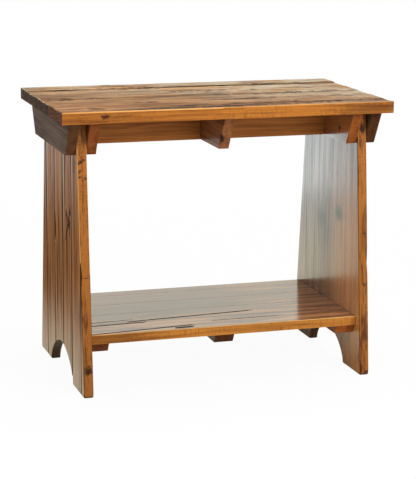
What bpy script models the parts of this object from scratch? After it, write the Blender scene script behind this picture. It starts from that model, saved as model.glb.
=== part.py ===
"""Rustic mudroom bench: plank top, tapered plank end panels, cleats, rail, shelf, battens and screws.

Metres, +Z up, the front towards -Y. The origin is on the floor under the middle of the bench.
"""

import math

import bmesh
import bpy
from mathutils import Matrix, Vector

# Clearance between pieces that touch
GAP = 0.0003

# Top
BENCH_HEIGHT = 0.508
TOP_LENGTH = 0.610
TOP_DEPTH = 0.348
TOP_THICKNESS = 0.021
TOP_FRONT_BOARD = 0.048
TOP_BOARD_PITCH = 0.0615
TOP_ARRIS = 0.0006

# End panels
PANEL_SPREAD = 0.540
PANEL_THICKNESS = 0.0175
PANEL_FOOT_DEPTH = 0.350
PANEL_HEAD_DEPTH = 0.254
PANEL_FRONT_STRIP = 0.0215
PANEL_BOARD_PITCH = 0.0677
PANEL_V_GROOVE = 0.0028
FOOT_ROUND = 0.003
ARCH_WIDTH = 0.179
ARCH_HEIGHT = 0.058
ARCH_POWER = 1.7
ARCH_STEPS = 24
CORNER_STEPS = 3

# Tongues and grooves between boards
TONGUE_DEPTH = 0.005
TONGUE_THICKNESS = 0.005
NARROWEST_BOARD = 0.012

# Cleats under the top
CLEAT_HEIGHT = 0.0605
CLEAT_THICKNESS = 0.0185
CLEAT_TOP_LENGTH = 0.316
CLEAT_BOTTOM_LENGTH = 0.248

# Centre rail under the top
RAIL_THICKNESS = 0.027
TENON_LENGTH = 0.009
TENON_SHOULDER = 0.010
HALVING_DEPTH = 0.030

# Shelf and its battens
SHELF_TOP = 0.107
SHELF_DEPTH = 0.298
SHELF_THICKNESS = 0.017
SHELF_FRONT_BOARD = 0.067
SHELF_BOARD_PITCH = 0.067
SHELF_ARRIS = 0.0006
BATTEN_WIDTH = 0.036
BATTEN_HEIGHT = 0.017
BATTEN_TOP_LENGTH = 0.289
BATTEN_BOTTOM_LENGTH = 0.269

# Wood screws
SCREW_SHANK_RADIUS = 0.0021
SCREW_HEAD_RADIUS = 0.0042
SCREW_HEAD_HEIGHT = 0.0024
SCREW_TIP_LENGTH = 0.005
SCREW_TIP_RADIUS = 0.0004
SCREW_SUNK = 0.0004
SCREW_SIDES = 12
HOLE_RELIEF = 0.002
TOP_SCREW_SPACING = 0.220
TOP_SCREW_GRIP = 0.031
TOP_SCREW_COVER = 0.008
CLEAT_SCREW_SPACING = 0.182
CLEAT_SCREW_DROP = 0.037
CLEAT_SCREW_COVER = 0.009
SHELF_SCREW_SPACING = 0.200
SHELF_SCREW_COVER = 0.006
BATTEN_SCREW_SPACING = 0.120
BATTEN_SCREW_COVER = 0.006

# Levels and faces that several pieces share
TOP_UNDERSIDE = BENCH_HEIGHT - TOP_THICKNESS
PANEL_OUTER_FACE = PANEL_SPREAD / 2
PANEL_INNER_FACE = PANEL_OUTER_FACE - PANEL_THICKNESS
PANEL_HEAD = TOP_UNDERSIDE - GAP
CLEAT_TOP = TOP_UNDERSIDE - GAP
CLEAT_BOTTOM = CLEAT_TOP - CLEAT_HEIGHT
INNER_CLEAT_BACK = PANEL_INNER_FACE - GAP
INNER_CLEAT_FACE = INNER_CLEAT_BACK - CLEAT_THICKNESS
OUTER_CLEAT_BACK = PANEL_OUTER_FACE + GAP
OUTER_CLEAT_FACE = OUTER_CLEAT_BACK + CLEAT_THICKNESS
SHELF_UNDERSIDE = SHELF_TOP - SHELF_THICKNESS
BATTEN_TOP = SHELF_UNDERSIDE - GAP
BATTEN_BOTTOM = BATTEN_TOP - BATTEN_HEIGHT
SIDE_BATTEN_FACE = PANEL_INNER_FACE - GAP - BATTEN_WIDTH
SIDES = {"left": -1, "right": 1}

# Colours of the finishes
WEATHERED_OAK = (0.37, 0.22, 0.12, 1.0)
PANEL_BROWN = (0.30, 0.15, 0.07, 1.0)
SHELF_BROWN = (0.40, 0.21, 0.10, 1.0)
CLEAT_BROWN = (0.24, 0.10, 0.05, 1.0)
BATTEN_BROWN = (0.18, 0.07, 0.04, 1.0)
SCREW_STEEL = (0.35, 0.33, 0.30, 1.0)
VARNISH_ROUGHNESS = 0.35
WORN_ROUGHNESS = 0.55
STEEL_ROUGHNESS = 0.4


def clear_scene():
    """Remove every object, so that the bench stands alone."""
    for old in list(bpy.data.objects):
        bpy.data.objects.remove(old, do_unlink=True)


def make_material(name, colour, roughness, metallic=0.0):
    """A plain finish of one colour."""
    material = bpy.data.materials.new(name)
    material.use_nodes = True
    shader = material.node_tree.nodes["Principled BSDF"]
    shader.inputs["Base Color"].default_value = colour
    shader.inputs["Roughness"].default_value = roughness
    shader.inputs["Metallic"].default_value = metallic
    material.diffuse_color = colour
    return material


def make_object(name, mesh_build, finish=None):
    """Turn a finished bmesh into a named object."""
    mesh = bpy.data.meshes.new(name)
    mesh_build.to_mesh(mesh)
    mesh_build.free()
    piece = bpy.data.objects.new(name, mesh)
    bpy.context.scene.collection.objects.link(piece)
    if finish is not None:
        material = make_material(name, *finish)
        mesh.materials.append(material)
    return piece


def make_cutter(name, mesh_build):
    """A shape that only cuts others."""
    cutter = make_object(name, mesh_build)
    cutter.hide_render = True
    cutter.display_type = "WIRE"
    return cutter


def cut(piece, cutter, operation="DIFFERENCE"):
    """Cut a piece with another shape."""
    modifier = piece.modifiers.new(cutter.name, "BOOLEAN")
    modifier.operation = operation
    modifier.solver = "EXACT"
    modifier.object = cutter


def prism(outline, axis, low, high):
    """Extrude an outline along X, Y or Z. Its points hold the other two coordinates in their usual order."""
    build = bmesh.new()
    place = "XYZ".index(axis)
    corners = []
    for point in outline:
        corner = list(point)
        corner.insert(place, low)
        corners.append(build.verts.new(corner))
    face = build.faces.new(corners)
    grown = bmesh.ops.extrude_face_region(build, geom=[face])
    moved = [item for item in grown["geom"] if isinstance(item, bmesh.types.BMVert)]
    step = Vector((0.0, 0.0, 0.0))
    step[place] = high - low
    bmesh.ops.translate(build, verts=moved, vec=step)
    bmesh.ops.recalc_face_normals(build, faces=build.faces)
    return build


def box(low, high):
    """A block between two opposite corners."""
    outline = [(low[1], low[2]), (high[1], low[2]), (high[1], high[2]), (low[1], high[2])]
    return prism(outline, "X", low[0], high[0])


def turned(profile, place, direction):
    """Turn a profile of (radius, distance) pairs about an axis that starts at place."""
    build = bmesh.new()
    rings = []
    for radius, distance in profile:
        ring = []
        for side in range(SCREW_SIDES):
            angle = 2 * math.pi * side / SCREW_SIDES
            ring.append(build.verts.new((radius * math.cos(angle), radius * math.sin(angle), distance)))
        rings.append(ring)
    for lower, upper in zip(rings, rings[1:]):
        for side in range(SCREW_SIDES):
            after = (side + 1) % SCREW_SIDES
            build.faces.new((lower[side], lower[after], upper[after], upper[side]))
    build.faces.new(rings[0])
    build.faces.new(rings[-1])
    turn = Vector(direction).to_track_quat("Z", "Y").to_matrix().to_4x4()
    bmesh.ops.transform(build, matrix=Matrix.Translation(place) @ turn, verts=build.verts)
    bmesh.ops.recalc_face_normals(build, faces=build.faces)
    return build


def joint_lines(front, rear, first_width, pitch):
    """Y of each joint between boards, counted from the front edge."""
    lines = []
    line = front + first_width
    while line < rear - NARROWEST_BOARD:
        lines.append(line)
        line += pitch
    return lines


def board_outline(low, high, thickness, arris, has_groove, has_tongue):
    """Cross-section of a board as (across, below the show face): groove at its low edge, tongue at its high edge."""
    middle = thickness / 2
    tongue_half = TONGUE_THICKNESS / 2
    groove_half = tongue_half + GAP
    outline = [(low + arris, 0.0), (high - arris, 0.0), (high, arris)]
    if has_tongue:
        outline.append((high, middle - tongue_half))
        outline.append((high + TONGUE_DEPTH, middle - tongue_half))
        outline.append((high + TONGUE_DEPTH, middle + tongue_half))
        outline.append((high, middle + tongue_half))
    outline.append((high, thickness))
    outline.append((low, thickness))
    if has_groove:
        outline.append((low, middle + groove_half))
        outline.append((low + TONGUE_DEPTH, middle + groove_half))
        outline.append((low + TONGUE_DEPTH, middle - groove_half))
        outline.append((low, middle - groove_half))
    outline.append((low, arris))
    return outline


def board_outlines(front, rear, lines, thickness, arris):
    """Cross-sections of all boards of a plank face, from front to rear."""
    edges = [front - GAP / 2] + lines + [rear + GAP / 2]
    outlines = []
    for number, (low, high) in enumerate(zip(edges, edges[1:])):
        has_groove = number > 0
        has_tongue = number < len(lines)
        outlines.append(
            board_outline(low + GAP / 2, high - GAP / 2, thickness, arris, has_groove, has_tongue)
        )
    return outlines


def make_flat_boards(name, depth, half_length, level, first_width, pitch, thickness, arris, colour, roughness):
    """Lengthwise boards with their show face up, from front to rear."""
    lines = joint_lines(-depth / 2, depth / 2, first_width, pitch)
    boards = []
    for number, outline in enumerate(board_outlines(-depth / 2, depth / 2, lines, thickness, arris), 1):
        section = [(across, level - below) for across, below in outline]
        build = prism(section, "X", -half_length, half_length)
        boards.append(make_object(f"{name}_{number}", build, (colour, roughness)))
    return boards


def rounded_corner(before, corner, after, radius):
    """Points of an arc that rounds a corner between two straight edges."""
    corner = Vector(corner)
    towards = [(Vector(other) - corner).normalized() for other in (before, after)]
    half_angle = towards[0].angle(towards[1]) / 2
    centre = corner + (towards[0] + towards[1]).normalized() * radius / math.sin(half_angle)
    start, end = [corner + way * radius / math.tan(half_angle) - centre for way in towards]
    points = []
    for step in range(CORNER_STEPS + 1):
        share = step / CORNER_STEPS
        points.append(tuple(centre + radius * start.slerp(end, share)))
    return points


def arch_points():
    """The arch between the feet, from front to rear: a rounded arch, slightly pointed."""
    points = []
    for step in range(ARCH_STEPS + 1):
        angle = math.pi * step / ARCH_STEPS
        across = math.copysign(abs(math.cos(angle)) ** (2 / ARCH_POWER), -math.cos(angle))
        up = abs(math.sin(angle)) ** (2 / ARCH_POWER)
        points.append((across * ARCH_WIDTH / 2, up * ARCH_HEIGHT))
    points[0] = (-ARCH_WIDTH / 2, 0.0)
    points[-1] = (ARCH_WIDTH / 2, 0.0)
    return points


def panel_outline():
    """Side view of an end panel in Y and Z: tapered edges, rounded feet and the arch."""
    foot = PANEL_FOOT_DEPTH / 2
    head = PANEL_HEAD_DEPTH / 2
    arch = arch_points()
    front_foot = rounded_corner((-head, PANEL_HEAD), (-foot, 0.0), arch[0], FOOT_ROUND)
    rear_foot = rounded_corner(arch[-1], (foot, 0.0), (head, PANEL_HEAD), FOOT_ROUND)
    return front_foot + arch + rear_foot + [(head, PANEL_HEAD), (-head, PANEL_HEAD)]


def make_panel(side_name, side):
    """Vertical boards of one end panel, trimmed together to the tapered outline."""
    widest = max(PANEL_FOOT_DEPTH, PANEL_HEAD_DEPTH) / 2
    lines = joint_lines(-widest, widest, PANEL_FRONT_STRIP, PANEL_BOARD_PITCH)
    spare = PANEL_THICKNESS
    reach = sorted((side * (PANEL_INNER_FACE - spare), side * (PANEL_OUTER_FACE + spare)))
    trim = make_cutter(f"{side_name}_panel_outline", prism(panel_outline(), "X", *reach))
    boards = []
    outlines = board_outlines(-widest - spare, widest + spare, lines, PANEL_THICKNESS, PANEL_V_GROOVE)
    for number, outline in enumerate(outlines, 1):
        section = [(side * (PANEL_OUTER_FACE - below), across) for across, below in outline]
        build = prism(section, "Z", -spare, PANEL_HEAD + spare)
        finish = (PANEL_BROWN, VARNISH_ROUGHNESS)
        board = make_object(f"{side_name}_panel_board_{number}", build, finish)
        cut(board, trim, "INTERSECT")
        boards.append(board)
    return boards


def sloped_outline(top_length, bottom_length, top, bottom):
    """Side view of a bar whose ends slope back towards its underside."""
    return [
        (-bottom_length / 2, bottom),
        (bottom_length / 2, bottom),
        (top_length / 2, top),
        (-top_length / 2, top),
    ]


def make_side_cleat(name, faces):
    """A cleat that lies along a panel, between two faces in X."""
    outline = sloped_outline(CLEAT_TOP_LENGTH, CLEAT_BOTTOM_LENGTH, CLEAT_TOP, CLEAT_BOTTOM)
    build = prism(outline, "X", *sorted(faces))
    return make_object(name, build, (CLEAT_BROWN, VARNISH_ROUGHNESS))


def make_middle_cleat():
    """The middle cleat, halved from above where the rail crosses it."""
    slot = RAIL_THICKNESS / 2 + GAP
    slot_floor = CLEAT_BOTTOM + HALVING_DEPTH
    outline = sloped_outline(CLEAT_TOP_LENGTH, CLEAT_BOTTOM_LENGTH, CLEAT_TOP, CLEAT_BOTTOM)
    halving = [(slot, CLEAT_TOP), (slot, slot_floor), (-slot, slot_floor), (-slot, CLEAT_TOP)]
    outline[3:3] = halving
    build = prism(outline, "X", -CLEAT_THICKNESS / 2, CLEAT_THICKNESS / 2)
    return make_object("middle_cleat", build, (CLEAT_BROWN, VARNISH_ROUGHNESS))


def make_rail():
    """The centre rail, halved from below over the middle cleat, with a stub tenon at each end."""
    slot = CLEAT_THICKNESS / 2 + GAP
    slot_roof = CLEAT_BOTTOM + HALVING_DEPTH + GAP
    shoulder = INNER_CLEAT_FACE - GAP
    tip = shoulder + TENON_LENGTH
    half = [
        (slot, slot_roof),
        (slot, CLEAT_BOTTOM),
        (shoulder, CLEAT_BOTTOM),
        (shoulder, CLEAT_BOTTOM + TENON_SHOULDER),
        (tip, CLEAT_BOTTOM + TENON_SHOULDER),
        (tip, CLEAT_TOP - TENON_SHOULDER),
        (shoulder, CLEAT_TOP - TENON_SHOULDER),
        (shoulder, CLEAT_TOP),
    ]
    outline = half + [(-along, up) for along, up in reversed(half)]
    build = prism(outline, "Y", -RAIL_THICKNESS / 2, RAIL_THICKNESS / 2)
    return make_object("centre_rail", build, (CLEAT_BROWN, VARNISH_ROUGHNESS))


def cut_mortise(side_name, side, inner_cleat):
    """The mortise that takes the rail's tenon."""
    across = RAIL_THICKNESS / 2 + GAP
    mouth = INNER_CLEAT_FACE - HOLE_RELIEF
    end = INNER_CLEAT_FACE + TENON_LENGTH
    near, far = sorted((side * mouth, side * end))
    low = (near, -across, CLEAT_BOTTOM + TENON_SHOULDER - GAP)
    high = (far, across, CLEAT_TOP - TENON_SHOULDER + GAP)
    cut(inner_cleat, make_cutter(f"{side_name}_mortise", box(low, high)))


def make_batten(name, middle):
    """A flat batten under the shelf."""
    outline = sloped_outline(BATTEN_TOP_LENGTH, BATTEN_BOTTOM_LENGTH, BATTEN_TOP, BATTEN_BOTTOM)
    build = prism(outline, "X", middle - BATTEN_WIDTH / 2, middle + BATTEN_WIDTH / 2)
    return make_object(name, build, (BATTEN_BROWN, VARNISH_ROUGHNESS))


def screw_profile(length, ease):
    """Countersunk wood screw from head to tip, grown by ease on every side."""
    neck = SCREW_HEAD_HEIGHT + ease
    return [
        (SCREW_HEAD_RADIUS + ease, -ease),
        (SCREW_HEAD_RADIUS + ease, ease),
        (SCREW_SHANK_RADIUS + ease, neck),
        (SCREW_SHANK_RADIUS + ease, length - SCREW_TIP_LENGTH),
        (SCREW_TIP_RADIUS + ease, length + ease),
    ]


def bounding_box(piece):
    """Lowest and highest corners of an uncut piece."""
    points = [piece.matrix_world @ vertex.co for vertex in piece.data.vertices]
    low = [min(point[axis] for point in points) for axis in range(3)]
    high = [max(point[axis] for point in points) for axis in range(3)]
    return low, high


def meet(first, second):
    """Whether the boxes of two pieces overlap."""
    low_a, high_a = bounding_box(first)
    low_b, high_b = bounding_box(second)
    return all(low_a[axis] < high_b[axis] and low_b[axis] < high_a[axis] for axis in range(3))


def drive_screw(name, head, direction, length, sunk, pieces):
    """A screw with its head sunk below the surface, and its hole in every piece that it passes."""
    direction = Vector(direction)
    place = Vector(head) + direction * sunk
    profile = screw_profile(length, 0.0)[1:]
    screw = make_object(name, turned(profile, place, direction), (SCREW_STEEL, STEEL_ROUGHNESS, 1.0))
    screw.data.shade_smooth()
    screw.data.set_sharp_from_angle(angle=math.radians(30))
    hole_profile = screw_profile(length, GAP)
    hole_profile[0] = (SCREW_HEAD_RADIUS + GAP, -sunk - HOLE_RELIEF)
    hole = make_cutter(f"{name}_hole", turned(hole_profile, place, direction))
    for piece in pieces:
        if meet(piece, hole):
            cut(piece, hole)


def pair(spacing):
    """Y of two screws, one towards the front and one towards the rear."""
    return (-spacing / 2, spacing / 2)


def drive_top_screws(cleats, top_boards):
    """Up through every cleat into the top, the head deep in a counterbore."""
    length = TOP_SCREW_GRIP + GAP + TOP_THICKNESS - TOP_SCREW_COVER
    sunk = CLEAT_HEIGHT - TOP_SCREW_GRIP
    number = 0
    for cleat in cleats:
        low, high = bounding_box(cleat)
        for across in pair(TOP_SCREW_SPACING):
            number += 1
            head = ((low[0] + high[0]) / 2, across, CLEAT_BOTTOM)
            drive_screw(f"top_screw_{number}", head, (0, 0, 1), length, sunk, [cleat] + top_boards)


def drive_cleat_screws(side_name, side, pieces):
    """Through the inner cleat and the panel into the outer cleat."""
    length = OUTER_CLEAT_FACE - CLEAT_SCREW_COVER - INNER_CLEAT_FACE
    level = TOP_UNDERSIDE - CLEAT_SCREW_DROP
    for number, across in enumerate(pair(CLEAT_SCREW_SPACING), 1):
        head = (side * INNER_CLEAT_FACE, across, level)
        name = f"{side_name}_cleat_screw_{number}"
        drive_screw(name, head, (side, 0, 0), length, SCREW_SUNK, pieces)


def drive_shelf_screws(battens, shelf_boards):
    """Up through the battens into the shelf."""
    length = BATTEN_HEIGHT + GAP + SHELF_THICKNESS - SHELF_SCREW_COVER
    number = 0
    for batten in battens:
        low, high = bounding_box(batten)
        for across in pair(SHELF_SCREW_SPACING):
            number += 1
            head = ((low[0] + high[0]) / 2, across, BATTEN_BOTTOM)
            drive_screw(f"shelf_screw_{number}", head, (0, 0, 1), length, SCREW_SUNK, [batten] + shelf_boards)


def drive_batten_screws(side_name, side, pieces):
    """Through a side batten into its panel."""
    length = PANEL_OUTER_FACE - BATTEN_SCREW_COVER - SIDE_BATTEN_FACE
    level = (BATTEN_TOP + BATTEN_BOTTOM) / 2
    for number, across in enumerate(pair(BATTEN_SCREW_SPACING), 1):
        head = (side * SIDE_BATTEN_FACE, across, level)
        name = f"{side_name}_batten_screw_{number}"
        drive_screw(name, head, (side, 0, 0), length, SCREW_SUNK, pieces)


def make_bench():
    """Build all pieces, then drive the screws that hold them."""
    top_boards = make_flat_boards(
        "top_board", TOP_DEPTH, TOP_LENGTH / 2, BENCH_HEIGHT, TOP_FRONT_BOARD, TOP_BOARD_PITCH,
        TOP_THICKNESS, TOP_ARRIS, WEATHERED_OAK, WORN_ROUGHNESS,
    )
    shelf_boards = make_flat_boards(
        "shelf_board", SHELF_DEPTH, PANEL_INNER_FACE - GAP, SHELF_TOP, SHELF_FRONT_BOARD, SHELF_BOARD_PITCH,
        SHELF_THICKNESS, SHELF_ARRIS, SHELF_BROWN, VARNISH_ROUGHNESS,
    )
    middle_cleat = make_middle_cleat()
    middle_batten = make_batten("middle_batten", 0.0)
    make_rail()
    cleats = [middle_cleat]
    battens = [middle_batten]
    for side_name, side in SIDES.items():
        boards = make_panel(side_name, side)
        inner = make_side_cleat(f"{side_name}_inner_cleat", (side * INNER_CLEAT_FACE, side * INNER_CLEAT_BACK))
        outer = make_side_cleat(f"{side_name}_outer_cleat", (side * OUTER_CLEAT_BACK, side * OUTER_CLEAT_FACE))
        batten = make_batten(f"{side_name}_batten", side * (SIDE_BATTEN_FACE + BATTEN_WIDTH / 2))
        cut_mortise(side_name, side, inner)
        drive_cleat_screws(side_name, side, [inner, outer] + boards)
        drive_batten_screws(side_name, side, [batten] + boards)
        cleats += [inner, outer]
        battens.append(batten)
    drive_top_screws(cleats, top_boards)
    drive_shelf_screws(battens, shelf_boards)


clear_scene()
make_bench()
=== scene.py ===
# %% [markdown]
# # A rustic mudroom bench
# The bench is a plank seat on two tapered plank ends, with cleats and a rail under the seat and a low
# shelf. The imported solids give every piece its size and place. This lesson remakes each one as worn timber:
# boards with eased edges, cracks and relief, then finishes of grain, knots and varnish, then camera and
# light.

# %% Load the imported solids
import math
import random

import bmesh
import bpy
from mathutils import Matrix, Vector


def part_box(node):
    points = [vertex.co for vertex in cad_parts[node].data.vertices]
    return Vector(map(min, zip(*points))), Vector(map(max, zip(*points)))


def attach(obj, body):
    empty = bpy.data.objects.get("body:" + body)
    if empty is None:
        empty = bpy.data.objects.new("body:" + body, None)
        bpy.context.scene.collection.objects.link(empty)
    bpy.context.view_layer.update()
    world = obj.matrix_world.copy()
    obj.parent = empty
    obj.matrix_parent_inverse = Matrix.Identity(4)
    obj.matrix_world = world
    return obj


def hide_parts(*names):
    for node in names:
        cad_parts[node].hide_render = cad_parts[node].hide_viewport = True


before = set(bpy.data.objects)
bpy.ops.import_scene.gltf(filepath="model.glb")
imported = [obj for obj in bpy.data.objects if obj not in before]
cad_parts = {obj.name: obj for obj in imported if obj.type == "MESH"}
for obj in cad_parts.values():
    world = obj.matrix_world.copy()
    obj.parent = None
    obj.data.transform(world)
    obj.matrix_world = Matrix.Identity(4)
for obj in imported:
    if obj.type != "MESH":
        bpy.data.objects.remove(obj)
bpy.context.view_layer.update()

print("nodes:", len(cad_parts))

# %% [markdown]
# ## Working in edit mode from a script
# An operator acts on whatever is selected, and loading leaves every solid selected. So each piece is opened
# alone, and its faces, edges or corners are then picked by a test on their place or direction.

# %% Helpers to open a piece and to pick parts of it
PICK_MODES = {"verts": "VERT", "edges": "EDGE", "faces": "FACE"}


def select_alone(piece):
    """Make one piece the only selected one."""
    bpy.ops.object.select_all(action="DESELECT")
    bpy.context.view_layer.objects.active = piece
    piece.select_set(True)


def open_piece(piece):
    """Select one piece alone and go into edit mode."""
    select_alone(piece)
    bpy.ops.object.mode_set(mode="EDIT")


def close_piece():
    """Go back to object mode."""
    bpy.ops.object.mode_set(mode="OBJECT")


def pick(kind, test):
    """Select the verts, edges or faces of the open piece that pass a test, and count them."""
    bpy.ops.mesh.select_mode(type=PICK_MODES[kind])
    bpy.ops.mesh.select_all(action="DESELECT")
    mesh = bpy.context.object.data
    shape = bmesh.from_edit_mesh(mesh)
    shape.normal_update()
    chosen = [item for item in getattr(shape, kind) if test(item)]
    for item in chosen:
        item.select_set(True)
    shape.select_flush_mode()
    bmesh.update_edit_mesh(mesh)
    return len(chosen)


print("parts that can be picked:", list(PICK_MODES))

# %% [markdown]
# ## Starting and cutting a piece
# A board starts as a cube stretched to its corners. It can be cut in two ways: a bisect draws a loop of
# edges round it, for shaping later, and a Boolean modifier takes a tool's shape out of it, as a saw or a
# drill does. A modifier is applied at once, so that the next cut works on the real mesh.

# %% Helpers that start and cut a piece
def block(name, low, high):
    """A cube primitive stretched between two corners, with its place in its mesh."""
    bpy.ops.object.select_all(action="DESELECT")
    bpy.ops.mesh.primitive_cube_add(size=1.0, location=(low + high) / 2)
    piece = bpy.context.object
    piece.name = name
    piece.scale = high - low
    bpy.ops.object.transform_apply(location=True, rotation=True, scale=True)
    return piece


def apply_modifier(piece, modifier):
    """Turn a modifier's result into the piece's own mesh."""
    select_alone(piece)
    bpy.ops.object.modifier_apply(modifier=modifier.name)


def cut_away(piece, cutter):
    """Take a cutter's shape out of a piece, then throw the cutter away."""
    cut = piece.modifiers.new("cut", "BOOLEAN")
    cut.operation = "DIFFERENCE"
    cut.object = cutter
    apply_modifier(piece, cut)
    bpy.data.objects.remove(cutter)


def slice_open_piece(axis, places):
    """Cut the open piece square to an axis (0, 1 or 2) at each place, leaving loops of edges."""
    square = Vector((0.0, 0.0, 0.0))
    square[axis] = 1.0
    for place in places:
        bpy.ops.mesh.select_all(action="SELECT")
        bpy.ops.mesh.bisect(plane_co=square * place, plane_no=square)


# %% [markdown]
# ## Tongue-and-groove planks
# The seat and the shelf are narrow boards joined edge to edge. Each has a tongue on its rear edge and a
# groove in its front edge. A tongue could be a second block, but a glued-on strip isn't one piece of wood.
# So two level cuts mark the strip in the middle of the rear edge, and that strip is extruded. The groove
# and the screw holes are cut out with a bar and with a cylinder, as a router and a drill would cut them.

# %% Helpers for tongues, grooves and screw holes
CLEARANCE = 0.0003
TONGUE_THICKNESS = 0.005
PILOT_RADIUS = 0.0024
DRILL_SIDES = 12
OVERSHOOT = 0.01
SQUARE_ON = 0.9


def plank_body(names, number):
    """Corners of a plank without its tongue, and the tongue's depth."""
    low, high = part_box(names[number])
    if number + 1 == len(names):
        return low, high, 0.0
    body_high = high.copy()
    body_high.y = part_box(names[number + 1])[0].y - CLEARANCE
    return low, body_high, high.y - body_high.y


def run_tongue(piece, low, high, depth):
    """Extrude the middle strip of the rear edge."""
    middle = (low.z + high.z) / 2
    half = TONGUE_THICKNESS / 2
    open_piece(piece)
    slice_open_piece(2, [middle - half, middle + half])
    pick("faces", lambda f: f.normal.y > SQUARE_ON and abs(f.calc_center_median().z - middle) < half)
    bpy.ops.mesh.extrude_region_move(TRANSFORM_OT_translate={"value": (0, depth, 0)})
    close_piece()


def run_groove(piece, low, high, depth):
    """Rout a groove along the front edge."""
    middle = (low.z + high.z) / 2
    half = TONGUE_THICKNESS / 2 + CLEARANCE
    bar_low = Vector((low.x - OVERSHOOT, low.y - OVERSHOOT, middle - half))
    bar_high = Vector((high.x + OVERSHOOT, low.y + depth, middle + half))
    cut_away(piece, block("router", bar_low, bar_high))


def drill_for(piece, screw):
    """Drill the hole that an upright screw needs in the underside."""
    low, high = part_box(screw)
    bottom = min(v.co.z for v in piece.data.vertices)
    depth = high.z + CLEARANCE - bottom
    place = Vector(((low.x + high.x) / 2, (low.y + high.y) / 2, bottom + (depth - OVERSHOOT) / 2))
    bpy.ops.object.select_all(action="DESELECT")
    bpy.ops.mesh.primitive_cylinder_add(vertices=DRILL_SIDES, radius=PILOT_RADIUS, depth=depth + OVERSHOOT,
                                        location=place)
    cut_away(piece, bpy.context.object)


print("tongue thickness:", TONGUE_THICKNESS, "clearance:", CLEARANCE)

# %% Helpers that ease the edges and put a plank together
TINY = 1e-5
ARRIS_STEPS = 2
CORNER_STEPS = 3


def ease_upper(level, lines, arris):
    """Bevel the upper edges of the open piece that lie on some lines, each an axis and a place on it."""
    def on_a_line(edge):
        if any(abs(v.co.z - level) > TINY for v in edge.verts):
            return False
        return any(all(abs(v.co[axis] - place) < TINY for v in edge.verts) for axis, place in lines)

    if pick("edges", on_a_line):
        bpy.ops.mesh.bevel(offset=arris, segments=ARRIS_STEPS, affect="EDGES")


def ease_upright(x, y, ease):
    """Round an upright corner of the open piece."""
    def on_corner(edge):
        return all(abs(v.co.x - x) < TINY and abs(v.co.y - y) < TINY for v in edge.verts)

    if pick("edges", on_corner):
        bpy.ops.mesh.bevel(offset=ease, segments=CORNER_STEPS, affect="EDGES")


def evenly(low, high, spacing):
    """Places between two ends, about one spacing apart, without the ends."""
    count = max(1, round((high - low) / spacing))
    return [low + (high - low) * step / count for step in range(1, count)]


def make_plank(names, number, joint_arris, outer_arris, spacing, screws, corner_ease=0.0):
    """A plank with tongue, groove, screw holes, eased upper edges and a grid of cuts for later wear."""
    low, high, tongue = plank_body(names, number)
    piece = block("worn_" + names[number], low, high)
    piece.data.attributes.new("hollow", "FLOAT", "POINT")
    if tongue > 0:
        run_tongue(piece, low, high, tongue)
    if number > 0:
        run_groove(piece, low, high, plank_body(names, number - 1)[2])
    for screw in screws:
        if low.y < (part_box(screw)[0].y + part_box(screw)[1].y) / 2 < high.y:
            drill_for(piece, screw)
    outer = [(0, low.x), (0, high.x)]
    outer += [(1, low.y)] if number == 0 else []
    outer += [(1, high.y)] if tongue == 0 else []
    open_piece(piece)
    if number == 0 and corner_ease:
        ease_upright(high.x, low.y, corner_ease)
    ease_upper(high.z, outer, outer_arris)
    ease_upper(high.z, [(1, low.y), (1, high.y)], joint_arris)
    slice_open_piece(0, evenly(low.x, high.x, spacing[0]))
    slice_open_piece(1, evenly(low.y, high.y, spacing[1]))
    close_piece()
    return piece


print("bevel steps of an arris:", ARRIS_STEPS)

# %% [markdown]
# ## Weathered relief
# The seat was made from reclaimed boards: their upper faces are hollowed along the grain and torn in
# places. Bump alone would leave the silhouette straight, so a Displace modifier presses a cloud pattern
# into the face. An empty that is long in X stretches the pattern along the boards. The pattern only presses
# down, so the seat keeps its height, and it fades out at the front rim, which keeps its full thickness.

# %% Helpers that wear a face down along the grain
RIM = 0.018
WORN_LAYER = 0.001
TOP_LAYER = 0.004


def wear_down(piece, level, front, depth, size, stretch, shift):
    """Press a stretched cloud pattern into everything near a level, less so on the rim behind the front."""
    group = piece.vertex_groups.new(name="worn")
    for vertex in piece.data.vertices:
        if vertex.co.z > level - WORN_LAYER:
            share = min(1.0, max(0.0, (vertex.co.y - front) / RIM))
            group.add([vertex.index], share, "REPLACE")
    bpy.ops.object.select_all(action="DESELECT")
    bpy.ops.object.empty_add(location=shift)
    ruler = bpy.context.object
    ruler.scale = (stretch, 1.0, 1.0)
    clouds = bpy.data.textures.new("wear", "CLOUDS")
    clouds.noise_scale = size
    clouds.noise_depth = 2
    press = piece.modifiers.new("wear", "DISPLACE")
    press.texture = clouds
    press.texture_coords = "OBJECT"
    press.texture_coords_object = ruler
    press.direction = "Z"
    press.mid_level = 1.0
    press.strength = depth
    press.vertex_group = group.name
    bpy.context.view_layer.update()
    apply_modifier(piece, press)
    piece.vertex_groups.clear()
    bpy.data.objects.remove(ruler)
    bpy.data.textures.remove(clouds)


def sink_top(piece, level, front, drop):
    """Lower the top of a board a little, behind the front rim."""
    open_piece(piece)
    pick("verts", lambda v: v.co.z > level - TOP_LAYER and v.co.y > front + RIM / 2)
    bpy.ops.transform.translate(value=(0.0, 0.0, -drop))
    close_piece()


print("rim that keeps its height:", RIM)

# %% [markdown]
# ## Cracks
# Old boards split along the grain. A crack could be a dark line in the finish, but it would vanish in the
# bare mesh. So the face is cut across and along the crack, and the points on its middle line are pressed
# in. An attribute called hollow keeps which points lie in it. The finish reads that later and darkens them
# with painted shade and dirt.

# %% A helper that opens a crack
CRACK_LAYER = 0.003
CRACK_FACING = 0.7
CRACK_CUTS = (-0.75, 0.75, -0.5, 0.5, 0.0)
CRACK_SIDE = 0.55
CRACK_MIDDLE = 0.05
CRACK_SHADE_AND_DIRT = 1.3
CRACK_STATIONS = 8
UP = (0.0, 0.0, 1.0)


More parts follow.
